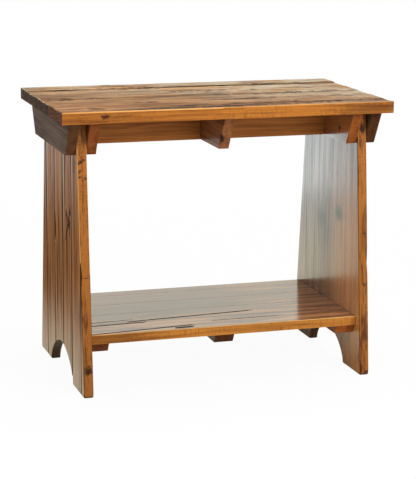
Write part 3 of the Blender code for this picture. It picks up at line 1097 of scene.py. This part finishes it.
def saw_marks(tree, strokes=SAW_STROKES, places=SAW_PLACES, strength=SAW_STRENGTH):
    """Faint strokes that a saw left across an edge, in some places only."""
    cuts = noise_mask(tree, strokes, *SAW_CUTS)
    return times(tree, cuts, noise_mask(tree, places, *SAW_FADE, strength))


print("seat joints:", [round(place, 4) for place in SEAT_JOINTS])

# %% Marks on the seat
SEAT_MARKS = face_marks(2, SEAT_LEVEL, [
    (-0.127, -0.150, 0.060, 0.020, 0.85), (-0.074, -0.130, 0.045, 0.013, 0.8),
    (-0.165, -0.152, 0.050, 0.014, 0.7), (-0.043, -0.116, 0.032, 0.012, 0.6),
    (0.048, -0.067, 0.095, 0.012, 1.0), (-0.076, -0.007, 0.050, 0.013, 0.65),
    (0.029, 0.024, 0.060, 0.014, 0.6), (-0.131, 0.033, 0.055, 0.011, 0.6),
    (-0.250, 0.118, 0.055, 0.011, 0.75), (0.190, 0.118, 0.170, 0.010, 0.9),
    (0.290, 0.118, 0.040, 0.014, 1.0), (0.215, -0.122, 0.190, 0.060, 0.40),
    (-0.250, 0.045, 0.150, 0.100, 0.42), (-0.300, 0.070, 0.050, 0.160, 0.50),
])
FRONT_MARKS = face_marks(1, SEAT_FRONT, [
    (-0.229, 0.4985, 0.014, 0.0062, 0.95), (-0.200, 0.4985, 0.055, 0.0030, 0.6),
    (-0.210, 0.4980, 0.120, 0.0180, 0.22), (-0.250, 0.4900, 0.045, 0.0040, 0.5),
    (0.217, 0.503, 0.022, 0.008, 0.45), (0.255, 0.496, 0.110, 0.018, 0.46),
    (0.300, 0.497, 0.010, 0.016, 0.35),
])
print("marks on the seat:", len(SEAT_MARKS), "on its front edge:", len(FRONT_MARKS))

# %% [markdown]
# ## The finishes of the seat
# The upper face is weathered, with greyish patches that partly carry a painted sheen. Its front arris is worn
# to bare honey and the left end's arris to pale tan, both painted lighter as a highlight. Sawn edges are
# honey-coloured, ends of boards are dark, and the seams hold dirt. One finish for a whole board would miss
# this, so each face gets the finish that is listed for its direction.

# %% Finishes of the seat
WEATHERED = {"Late": 0.2, "Streak": 0.5, "Line": 0.5, "Fibre": 0.3, "Patch": 1.0}
SAWN = {"Late": 0.4, "Streak": 0.5, "Line": 0.5, "Fibre": 0.4, "Patch": 0.35, "Pores": 0.3}
END_GRAIN = {"Late": 0.8, "Streak": 0.8}
SAW_DIRT = (0.055, 0.018, 0.006)
# The greyish patches of the upper face are partly weathering and partly a painted sheen.
seat_face = wood_finish("weathered_seat", (0.52, 0.255, 0.098), (0.19, 0.075, 0.026), WEATHERED,
                        roughness=0.45, gloss=0.15, relief=0.0006, blots=SEAT_MARKS,
                        dirt=seat_dirt, dirt_and_shade_colour=(0.045, 0.021, 0.011),
                        wear_and_light=seat_bleach_and_sheen, wear_and_light_colour=(0.68, 0.53, 0.37))
honey_edge = wood_finish("honey_sawn_edge", (0.55, 0.216, 0.036), (0.24, 0.072, 0.012), SAWN,
                         blots=FRONT_MARKS, dirt=saw_marks, dirt_and_shade_colour=SAW_DIRT)
seam_arris = wood_finish("dirty_seam", (0.34, 0.165, 0.070), (0.12, 0.050, 0.020), gloss=0.1,
                         dirt=seam_gaps, dirt_and_shade_colour=(0.030, 0.014, 0.008))
# The worn arrises are paler wood with a painted highlight.
honey_arris = wood_finish("honey_arris_wear_and_highlight", (0.85, 0.47, 0.16), (0.58, 0.27, 0.070))
tan_arris = wood_finish("tan_arris_wear_and_highlight", (0.90, 0.68, 0.46), (0.52, 0.35, 0.21), gloss=0.1,
                        dirt=seam_gaps, dirt_and_shade_colour=(0.08, 0.038, 0.018))
# Dark arrises on the seat's ends and on the inner front of the plank ends are painted shade.
dark_arris = wood_finish("painted_shade_arris", (0.16, 0.075, 0.032), (0.07, 0.030, 0.013), gloss=0.15)
red_end = wood_finish("red_end_grain", (0.175, 0.062, 0.022), (0.048, 0.016, 0.006), END_GRAIN,
                      roughness=0.5, gloss=0.08)
end_grain = wood_finish("dark_end_grain", (0.096, 0.043, 0.020), (0.030, 0.013, 0.006), END_GRAIN,
                        roughness=0.5, gloss=0.08)
underside = wood_finish("sawn_underside", (0.30, 0.130, 0.050), (0.11, 0.045, 0.018),
                        roughness=0.55, gloss=0.1)
print("finishes so far:", len(bpy.data.materials))

# %% Paint the seat
SEAT_STAINS = [(1.12, 0.98, 0.84), (1.10, 0.98, 0.86), (1.06, 1.00, 0.92),
               (1.12, 1.08, 1.00), (1.48, 1.50, 1.48), (1.40, 1.50, 1.60)]
STEEP = 0.7


def front_arris_test(front, width):
    """A test for the eased upper edge along the front of a board."""
    return lambda face: face.center.y < front + width and face.normal.y < -TILTED and face.normal.z > TILTED


for board, stain in zip(seat, SEAT_STAINS):
    saw_from_log(board, "X", stain)
    foremost = board is seat[0]
    paint(board, {"+Z": seat_face, "-Z": underside, "X": red_end if board in seat[:2] else end_grain,
                  "+Y": honey_edge, "+Y+Z": seat_face, "-Y": honey_edge if foremost else seam_arris,
                  "-Y+Z": seam_arris, "-X+Z": tan_arris, "+X+Z": dark_arris})
    repaint(board, dark_arris, lambda face: face.normal.x < -STEEP and face.normal.z > TILTED)
    if foremost:
        repaint(board, honey_arris, front_arris_test(SEAT_FRONT, SEAT_ARRIS))
print("seat finishes:", [slot.name for slot in seat[0].data.materials])

# %% [markdown]
# ## The finishes of the shelf
# The shelf is smooth, dark and glossy, with paler streaks where feet rub it. A clear coat over a low
# roughness gives the varnish, which is simpler than a second shader on top. Its front edge is sawn and
# honey-coloured.

# %% Finishes of the shelf
PLAIN = (1.0, 1.0, 1.0)
OILED = {"Late": 0.1, "Streak": 0.35, "Line": 0.25, "Fibre": 0.2, "Patch": 0.3}
RUB_STREAKS = ((5.0, 60.0, 1.0), 4.0, 0.42, 0.62)
RUBBED_FRONT = (-0.02, -0.09)
RUBBED_END = (0.06, 0.16, 0.0, 0.8)
SHELF_MARKS = face_marks(2, SHELF_LEVEL, [
    (-0.074, -0.138, 0.022, 0.013, 1.0), (-0.110, -0.134, 0.060, 0.006, 0.7),
    (0.190, -0.150, 0.070, 0.006, 0.5),
])
SHELF_EDGE_MARKS = [((-0.225, -0.155, 0.098), (0.140, 0.050, 0.016), 0.40)]


def shelf_wear(tree):
    """Paler streaks where feet rub the shelf, at its front and at its right end."""
    x, y, _ = separate(tree, bench_place(tree))
    reach = largest(tree, spread(tree, y, *RUBBED_FRONT), spread(tree, x, *RUBBED_END))
    return times(tree, reach, noise_mask(tree, *RUB_STREAKS))


shelf_face = wood_finish("glossy_shelf", (0.40, 0.132, 0.034), (0.090, 0.028, 0.010), OILED, roughness=0.14,
                         gloss=0.5, coat=0.5, relief=0.00012, blots=SHELF_MARKS, wear_and_light=shelf_wear,
                         wear_and_light_colour=(0.82, 0.34, 0.11))
shelf_edge = wood_finish("honey_shelf_edge", (0.62, 0.232, 0.037), (0.29, 0.087, 0.013), SAWN,
                         blots=SHELF_EDGE_MARKS, dirt=saw_marks, dirt_and_shade_colour=SAW_DIRT)
for board in shelf:
    saw_from_log(board, "X", PLAIN)
    foremost = board is shelf[0]
    paint(board, {"+Z": shelf_face, "-Z": underside, "X": end_grain, "+Y": shelf_edge, "+Y+Z": seam_arris,
                  "-Y": shelf_edge if foremost else seam_arris, "-Y+Z": seam_arris})
    if foremost:
        repaint(board, honey_arris, front_arris_test(SHELF_FRONT, SHELF_ARRIS))
print("shelf finishes:", [slot.name for slot in shelf[0].data.materials])

# %% [markdown]
# ## Painted groove shade, margin highlights and darker feet
# The outer faces of the ends have a V-groove at each joint. The wall of each groove is painted dark as shade,
# and the margin of the board in front of each one gets a painted highlight. The sawn front edges are darker
# towards the feet. These could be painted by hand, but masks that measure from the joints and the floor fit
# all boards at once.

# %% Masks of the plank ends
PANEL_JOINTS = [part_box("left_panel_board_%d" % number)[0].y for number in range(2, 7)]
MARGIN_STARTS = (0.82, 0.89)
MARGIN_ENDS = (0.995, 0.985)
MARGIN_BREAKS = ((8.0, 15.0, 9.0), 2.0, 0.35, 0.55, 0.4, 1.0)
MARGIN_HEIGHT = (0.26, 0.40, 0.2, 1.0)
PALE_FEET = (0.13, 0.0, 0.0, 0.55)
FRONT_LIGHT_NOISE = ((1.0, 60.0, 6.0), 3.0, 0.35, 0.65, 0.6, 1.0)
FRONT_LIGHT_DEPTH = (0.02, -0.12)
FRONT_LIGHT_HEIGHT = (0.42, 0.26)
FOOT_SPECKS = ((260.0, 90.0, 30.0), 3.0, 0.35, 0.7, 0.4, 1.0)
FOOT_DARKENING = (0.44, 0.0, 0.0, 0.53)
LEVEL_STROKES = (60.0, 1.0, 300.0)
LEVEL_PLACES = (70.0, 1.0, 12.0)
LEVEL_STRENGTH = 0.5


def margin_highlight_and_pale_feet(tree):
    """A painted highlight on a strip in front of each joint, broken along its length, and paler feet."""
    _, y, z = separate(tree, bench_place(tree))
    phase = joint_phase(tree, y, PANEL_JOINTS)
    # The strip is a painted highlight, stronger towards the top.
    strip = times(tree, spread(tree, phase, *MARGIN_STARTS), spread(tree, phase, *MARGIN_ENDS),
                  noise_mask(tree, *MARGIN_BREAKS), spread(tree, z, *MARGIN_HEIGHT))
    return largest(tree, strip, spread(tree, z, *PALE_FEET))


def painted_front_light(tree):
    """Painted light on the inner faces, paler towards the front and the floor, away from the seat's shade."""
    _, y, z = separate(tree, bench_place(tree))
    reach = times(tree, spread(tree, y, *FRONT_LIGHT_DEPTH), spread(tree, z, *FRONT_LIGHT_HEIGHT))
    return times(tree, reach, noise_mask(tree, *FRONT_LIGHT_NOISE))


def darker_feet_and_saw_marks(tree):
    """Darker towards the floor, fading upwards, and level saw marks."""
    z = separate(tree, bench_place(tree))[2]
    feet = times(tree, spread(tree, z, *FOOT_DARKENING), noise_mask(tree, *FOOT_SPECKS))
    return largest(tree, feet, saw_marks(tree, LEVEL_STROKES, LEVEL_PLACES, LEVEL_STRENGTH))


print("panel joints:", [round(place, 4) for place in PANEL_JOINTS])

# %% Marks on the plank ends
LEFT_FACE = -0.270
INNER_FACE = 0.2525
EDGE_DEPTH = 0.02
LEFT_MARKS = face_marks(0, LEFT_FACE, [
    (-0.076, 0.318, 0.009, 0.012, 1.0), (-0.070, 0.292, 0.010, 0.014, 1.0),
    (-0.046, 0.303, 0.007, 0.020, 0.8), (-0.047, 0.266, 0.007, 0.016, 0.8),
    (0.044, 0.262, 0.006, 0.030, 0.9), (-0.109, 0.405, 0.018, 0.022, 0.45),
    (-0.125, 0.340, 0.004, 0.050, 0.5),
])
INNER_MARKS = face_marks(0, INNER_FACE, [
    (-0.166, 0.033, 0.003, 0.020, 0.9), (0.032, 0.256, 0.034, 0.030, 0.95),
    (-0.052, 0.282, 0.026, 0.022, 0.95), (0.010, 0.230, 0.024, 0.050, 0.7),
])
EDGE_MARKS = [(centre, (width, EDGE_DEPTH, height), strength) for centre, width, height, strength in [
    ((-0.269, -0.134, 0.4130), 0.0055, 0.0040, 0.95), ((-0.264, -0.134, 0.4155), 0.0055, 0.0038, 0.95),
    ((-0.259, -0.134, 0.4180), 0.0050, 0.0036, 0.9), ((-0.270, -0.136, 0.3955), 0.0050, 0.0042, 0.95),
    ((-0.266, -0.136, 0.3995), 0.0050, 0.0040, 0.9), ((-0.267, -0.136, 0.3890), 0.0070, 0.0034, 0.9),
    ((-0.255, -0.137, 0.3860), 0.0065, 0.0040, 0.9), ((-0.257, -0.130, 0.450), 0.004, 0.020, 0.6),
    ((-0.261, -0.154, 0.213), 0.012, 0.0016, 0.8), ((-0.261, -0.170, 0.049), 0.014, 0.015, 1.0),
    ((0.262, -0.130, 0.453), 0.0080, 0.018, 1.0), ((0.258, -0.130, 0.430), 0.003, 0.020, 0.8),
    ((0.263, -0.159, 0.168), 0.004, 0.005, 0.85), ((0.259, -0.165, 0.101), 0.004, 0.012, 0.8),
    ((0.255, -0.174, 0.014), 0.006, 0.020, 0.95), ((0.266, -0.175, 0.006), 0.010, 0.006, 0.95),
    ((0.264, -0.150, 0.262), 0.006, 0.004, 0.7), ((0.262, -0.150, 0.250), 0.014, 0.100, 0.24),
]]
print("marks on the ends:", len(LEFT_MARKS), len(INNER_MARKS), len(EDGE_MARKS))

# %% [markdown]
# ## The finishes of the plank ends
# Outer faces are varnished and streaky, inner faces glossy with cloudy figure, front edges sawn. The wedge
# was ripped from the same plank as its neighbour, so it shares its place in the log. The finish goes by
# direction again, and the faces inside the joints and those that look down are then repainted dark as
# painted shade.

# %% Finishes of the plank ends
UPRIGHT = {"Late": 0.15, "Streak": 0.7, "Line": 1.2, "Fibre": 0.4, "Patch": 0.2, "Pores": 0.3}
CLOUDY = {"Late": 0.15, "Streak": 1.1, "Line": 0.9, "Patch": 0.5}
COARSE = {"Late": 0.4, "Streak": 0.6, "Line": 1.2, "Fibre": 0.8, "Patch": 0.3, "Pores": 0.7}
# The pale margins of the outer faces are a painted highlight.
panel_face = wood_finish("varnished_panel", (0.54, 0.216, 0.072), (0.120, 0.038, 0.013), UPRIGHT,
                         roughness=0.28, gloss=0.05, relief=0.00012, blots=LEFT_MARKS,
                         wear_and_light=margin_highlight_and_pale_feet, wear_and_light_colour=(0.80, 0.66, 0.51))
# The inner faces get painted light, paler towards the front and the floor.
panel_inside = wood_finish("glossy_panel", (0.36, 0.150, 0.052), (0.080, 0.028, 0.011), CLOUDY,
                           roughness=0.22, gloss=1.0, relief=0.00008, coat=1.0, coat_index=2.5, haze=0.19,
                           thin=0.27, blots=INNER_MARKS, wear_and_light=painted_front_light, wear_and_light_colour=(0.95, 0.39, 0.12))
panel_edge = wood_finish("honey_panel_edge", (0.50, 0.170, 0.027), (0.18, 0.048, 0.009), COARSE,
                         blots=EDGE_MARKS, dirt=darker_feet_and_saw_marks, dirt_and_shade_colour=(0.060, 0.019, 0.007))
# The walls of the V-grooves are painted dark as shade.
painted_shade_groove = wood_finish("painted_shade_groove", (0.060, 0.026, 0.012), (0.020, 0.009, 0.005),
                          roughness=0.6, gloss=0.03)
reveal = wood_finish("painted_shade_reveal", (0.085, 0.046, 0.025), (0.030, 0.016, 0.009),
                     roughness=0.45, gloss=0.1)
print("finishes so far:", len(bpy.data.materials))

# %% Paint the plank ends
UPRIGHT_TILT = 0.05
ARRIS_TILT = 0.02
BROAD_FACE = 0.97
origin = None
for board in panels:
    beside_wedge = board.name.endswith("_2")
    origin = saw_from_log(board, "Z", PLAIN, origin=origin if beside_wedge else None)
    left = "left" in board.name
    outer, inner = ("-X", "+X") if left else ("+X", "-X")
    paint(board, {outer: panel_face, inner: panel_inside, "Y": panel_edge, "Z": reveal, "-Y-Z": reveal,
                  "+Y-Z": reveal, outer + "+Y": painted_shade_groove, outer + "-Y": painted_shade_groove,
                  inner + "-Y": dark_arris, inner + "+Y": panel_edge})
    # Faces inside the joints and those that look down get painted shade.
    repaint(board, reveal, lambda face: abs(face.normal.x) < ALONG_X and face.normal.z < UPRIGHT_TILT
            and not (beside_wedge and face.normal.y < -SQUARE_TO_Y))
    # The rims of the left boards above the wedge get a painted highlight, the other rims painted shade.
    rim = honey_arris if left and not board.name.endswith("_1") else reveal
    repaint(board, rim, lambda face: ALONG_X < abs(face.normal.x) < BROAD_FACE
            and face.normal.z > ARRIS_TILT)
print("panel finishes:", [slot.name for slot in panels[0].data.materials])

# %% [markdown]
# ## The finishes of the cleats, the battens and the rail
# These pieces came from different boards, some reddish, some grey. A finish for each would repeat the same
# recipe, so they share a few finishes, and each piece's own stain gives it its tint. The inner cleats have
# a glossy side, which mirrors the light behind the bench.

# %% Finishes of the cleats, the rail and the battens
STAINS = {
    "left_outer_cleat": (0.40, 0.46, 0.66), "left_inner_cleat": (0.95, 0.75, 0.70),
    "middle_cleat": (1.08, 1.16, 1.60), "right_inner_cleat": (1.15, 0.92, 0.72),
    "right_outer_cleat": (0.35, 0.36, 0.45), "centre_rail": (1.68, 1.56, 1.24),
    "left_batten": (0.60, 0.46, 0.42), "middle_batten": (0.36, 0.30, 0.36),
    "right_batten": (1.34, 1.06, 0.88),
}
# The first mark darkens the screw hole in the right inner cleat's inner face as painted shade.
CLEAT_MARKS = [
    ((0.2337, -0.091, 0.450), (0.010, 0.004, 0.004), 1.0),
    ((-0.0075, -0.140, 0.446), (0.009, 0.02, 0.013), 0.95),
]
CLEAT_RELIEF = 0.0001
STAINED = {"Late": 0.2, "Streak": 0.7, "Fibre": 0.3, "Patch": 0.6}
STUBBY = {"Late": 0.15, "Streak": 0.6}
LONG_LINES = {"Late": 0.2, "Streak": 0.35, "Line": 0.5, "Fibre": 0.4, "Patch": 0.2}
cleat_side = wood_finish("cleat_side", (0.34, 0.125, 0.036), (0.12, 0.038, 0.012), STAINED,
                         gloss=0.12, relief=CLEAT_RELIEF, blots=CLEAT_MARKS)
dull_side = wood_finish("dull_cleat_side", (0.47, 0.235, 0.108), (0.18, 0.082, 0.039), STAINED,
                        roughness=0.45, gloss=0.05, relief=CLEAT_RELIEF)
glossy_side = wood_finish("glossy_cleat_side", (0.34, 0.150, 0.060), (0.12, 0.046, 0.020), STAINED,
                          roughness=0.16, gloss=1.0, coat=1.0, coat_index=2.0, relief=CLEAT_RELIEF,
                          blots=CLEAT_MARKS)
cleat_end = wood_finish("cleat_end", (0.37, 0.130, 0.034), (0.14, 0.042, 0.012), STUBBY, roughness=0.35,
                        gloss=0.12, relief=CLEAT_RELIEF, blots=CLEAT_MARKS)
rail_side = wood_finish("rail_side", (0.34, 0.130, 0.038), (0.13, 0.042, 0.013), LONG_LINES, gloss=0.12,
                        relief=CLEAT_RELIEF)
print("stained pieces:", len(STAINS))

# %% Paint the cleats, the battens and the rail
INWARDS = {"worn_left_inner_cleat": "+X", "worn_right_inner_cleat": "-X"}
for piece in cleats + battens:
    saw_from_log(piece, "Y", STAINS[piece.name.removeprefix("worn_")])
    side = dull_side if "outer" in piece.name else cleat_side
    paint(piece, {"X": side, "Y": cleat_end, "Z": side, INWARDS.get(piece.name): glossy_side})
saw_from_log(rail, "X", STAINS["centre_rail"])
paint(rail, {"X": end_grain, "Y": rail_side, "Z": rail_side})
print("rail finishes:", [slot.name for slot in rail.data.materials])

# %% [markdown]
# ## The finish of the screws
# The screws are zinc-plated steel that has gone dull, with a little rust. Plain grey metal would look new,
# so fine noise turns spots of it brown and rough. Every piece then rides on the one body of the bench.

# %% Finish of the screws
RUST_SCALE = 900.0
RUST_DETAIL = 3.0
RUST_RANGE = (0.5, 0.7)
STEEL_ROUGHNESS = (0.3, 0.7, 0.3, 0.6)


def steel_finish(name, bright, rusty):
    """Dull zinc-plated steel with a little rust."""
    material, tree = new_material(name)
    rust = {"Vector": bench_place(tree), "Scale": RUST_SCALE, "Detail": RUST_DETAIL}
    spots = add(tree, "TexNoise", rust)
    colour = blend(tree, spread(tree, spots, *RUST_RANGE), (*bright, 1.0), (*rusty, 1.0))
    rough = spread(tree, spots, *STEEL_ROUGHNESS)
    shader = tree.nodes["Principled BSDF"].inputs
    feed(tree, shader, {"Base Color": colour, "Roughness": rough, "Metallic": 1.0})
    return material


screw_steel = steel_finish("dull_screw_steel", (0.16, 0.145, 0.13), (0.07, 0.035, 0.02))
for screw in screws:
    screw.data.materials.append(screw_steel)
pieces = seat + shelf + panels + cleats + battens + [rail] + screws
for piece in pieces:
    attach(piece, "root")
print("pieces:", len(pieces))

# %% [markdown]
# ## The camera
# The camera stands to the left of the bench and a little above the seat, with a long lens. It could be set
# by eye, but its place and turn were worked out from the edges of the bench in the picture, which is 416 by
# 479 pixels, so that the model can be laid over it.

# %% Set the camera
PICTURE_HEIGHT = 479
FOCAL_PIXELS = 1741.76
CAMERA_PLACE = Vector((-0.9516, -3.0345, 0.9348))
CAMERA_YAW = 0.3073
CAMERA_PITCH = 0.2167
CAMERA_ROLL = 0.0092
SENSOR_WIDTH = 36.0
VIEW_END = 100.0


def camera_turn(yaw, pitch, roll):
    """Axes of a camera that looks along +Y, turned right by yaw, down by pitch, then rolled."""
    ahead = Vector((math.sin(yaw) * math.cos(pitch), math.cos(yaw) * math.cos(pitch), -math.sin(pitch)))
    right = Vector((math.cos(yaw), -math.sin(yaw), 0.0))
    up = right.cross(ahead)
    rolled_right = math.cos(roll) * right + math.sin(roll) * up
    rolled_up = math.cos(roll) * up - math.sin(roll) * right
    return Matrix((rolled_right, rolled_up, -ahead)).transposed()


bpy.ops.object.camera_add(location=CAMERA_PLACE)
camera = bpy.context.object
camera.rotation_euler = camera_turn(CAMERA_YAW, CAMERA_PITCH, CAMERA_ROLL).to_euler()
camera.data.sensor_width = SENSOR_WIDTH
camera.data.lens = FOCAL_PIXELS * SENSOR_WIDTH / PICTURE_HEIGHT
camera.data.clip_end = VIEW_END
bpy.context.scene.camera = camera
print("lens:", round(camera.data.lens, 1), "mm")

# %% [markdown]
# ## Floor and surroundings
# A product picture has a white ground. The floor and the surroundings are white to the camera, while the
# light on the bench comes from soft lamps. A floor lit to pure white would flood the bench with light from
# below, so the Light Path node tells the camera's view and the reflections apart from the rest. The varnish
# mirrors the floor's glow, which holds a painted shadow of the bench: a bright part to the right behind the
# bench, a dim one where the painted shadow and the dark studio lie, and a painted pool of light round the
# left foot.

# %% The paper of the floor
PAPER_SHARE = 0.95
PAPER_FADE = (0.7, 2.0)
DIM_ROOM = 0.06
SHADOW_SLANT = 0.42
SHADOW_EDGE = (0.13, 0.29)
SHADOW_START = (0.30, 0.60)
LIT_FOOT = (-0.31, 0.10, 0.0)
LIT_REACH = (0.60, 0.12)
NEAR_FLOOR = (1.0, 0.96, 0.76, 1.0)
FAR_FLOOR = (0.88, 1.0, 1.0, 1.0)
FLOOR_TURNS = (0.7, 1.9)
PURE_WHITE = (1.0, 1.0, 1.0, 1.0)
MIDDLE_GREY = (0.5, 0.5, 0.5, 1.0)


def ray_kinds(tree):
    """Whether a point is seen by the camera, also through glass, and whether it is seen in a reflection."""
    rays = add(tree, "LightPath").node.outputs
    return largest(tree, rays["Is Camera Ray"], rays["Is Transmission Ray"]), rays["Is Glossy Ray"]


def new_floor_paper():
    """White paper whose own shading shows near the bench only; its glow in reflections has a painted shadow.
    """
    paper, tree = new_material("white_paper")
    tree.nodes.remove(tree.nodes["Principled BSDF"])
    seen, mirrored = ray_kinds(tree)
    place = bench_place(tree)
    x, y, _ = separate(tree, place)
    # In reflections the floor glows with a painted shadow of the bench, slanting back to the left, and a
    # painted pool of light round the left foot.
    edge = total(tree, x, times(tree, y, SHADOW_SLANT))
    lit = times(tree, spread(tree, edge, *SHADOW_EDGE), spread(tree, y, *SHADOW_START))
    foot = add(tree, "VectorMath", {0: place, 1: LIT_FOOT}, "Value", operation="DISTANCE")
    lit = largest(tree, lit, spread(tree, foot, *LIT_REACH), DIM_ROOM)
    far = add(tree, "VectorMath", {0: place}, "Value", operation="LENGTH")
    share = largest(tree, times(tree, seen, spread(tree, far, *PAPER_FADE, PAPER_SHARE, 1.0)), mirrored)
    matt = add(tree, "BsdfDiffuse", {"Color": blend(tree, seen, MIDDLE_GREY, PURE_WHITE)})
    tint = blend(tree, spread(tree, y, *FLOOR_TURNS), NEAR_FLOOR, FAR_FLOOR)
    glow = add(tree, "Emission", {"Color": blend(tree, seen, tint, PURE_WHITE),
                                  "Strength": largest(tree, seen, times(tree, mirrored, lit))})
    mixed = add(tree, "MixShader", {0: share, 1: matt, 2: glow})
    feed(tree, tree.nodes["Material Output"].inputs, {"Surface": mixed})
    return paper


floor_paper = new_floor_paper()
print("nodes of the floor paper:", len(floor_paper.node_tree.nodes))

# %% Set the floor and the white surroundings
FLOOR_SIZE = 60.0
AMBIENT = 0.35
WARM_WALL = (0.95, 1.0, 0.89, 1.0)
DIM_WALL = 0.2
BEHIND = (-0.3, 0.2)
TO_THE_RIGHT = (-0.25, 0.0)


def new_white_room():
    """A world that is white to the camera, white behind the bench in reflections, and dim otherwise."""
    world = bpy.data.worlds.new("white_room")
    world.use_nodes = True
    tree = world.node_tree
    seen, mirrored = ray_kinds(tree)
    x, y, _ = separate(tree, add(tree, "TexCoord", output="Generated"))
    bright = largest(tree, times(tree, spread(tree, y, *BEHIND), spread(tree, x, *TO_THE_RIGHT)), DIM_WALL)
    shown = largest(tree, seen, times(tree, mirrored, bright))
    unseen = chain(tree, "SUBTRACT", 1.0, largest(tree, seen, mirrored))
    strength = total(tree, shown, times(tree, unseen, AMBIENT))
    colour = blend(tree, seen, WARM_WALL, PURE_WHITE)
    feed(tree, tree.nodes["Background"].inputs, {"Strength": strength, "Color": colour})
    return world


bpy.ops.object.select_all(action="DESELECT")
bpy.ops.mesh.primitive_plane_add(size=FLOOR_SIZE, location=(0.0, 0.0, 0.0))
floor = bpy.context.object
floor.name = "studio_floor"
floor.data.materials.append(floor_paper)
bpy.context.scene.world = new_white_room()
print("floor size:", FLOOR_SIZE, "ambient:", AMBIENT)

# %% [markdown]
# ## Lamps
# The key lamp stands to the right in front, so the bench throws its shadow back and to the left. A top lamp
# and a weak fill lamp soften it. A single sun would give hard shadows, so all are broad area lamps. A low
# lamp behind the bench faces up from the floor: it is seen only in the varnish, as the glow that a bright
# studio floor gives.

# %% Set the lamps
LAMPS = {
    "key_lamp": ((1.3, -3.1, 1.5), (0.0, 0.0, 0.25), (2.4, 2.2), 78.0),
    "top_lamp": ((0.2, 0.3, 3.0), (0.0, 0.0, 0.3), (2.0, 2.0), 40.0),
    "fill_lamp": ((-3.2, -1.6, 1.0), (0.0, 0.0, 0.25), (2.0, 1.6), 30.0),
}
GLOW_PLACE = (-0.60, 2.55, 0.01)
GLOW_SIZE = (0.42, 2.2)
GLOW_POWER = 2.2
GLOW_TURN = math.radians(21.5)


def area_lamp(name, place, size, power):
    """A soft oblong lamp. The lamp itself doesn't show as a glare on the varnish."""
    bpy.ops.object.light_add(type="AREA", location=place)
    lamp = bpy.context.object
    lamp.name = name
    lamp.data.shape = "RECTANGLE"
    lamp.data.size, lamp.data.size_y = size
    lamp.data.energy = power
    lamp.visible_glossy = False
    return lamp


for name, (place, target, size, power) in LAMPS.items():
    lamp = area_lamp(name, place, size, power)
    lamp.rotation_euler = (Vector(target) - Vector(place)).to_track_quat("-Z", "Y").to_euler()
glow = area_lamp("floor_glow", GLOW_PLACE, GLOW_SIZE, GLOW_POWER)
glow.rotation_euler = (math.pi, 0.0, GLOW_TURN)
glow.visible_glossy = True
glow.visible_camera = False
bpy.context.scene.view_settings.view_transform = "Standard"
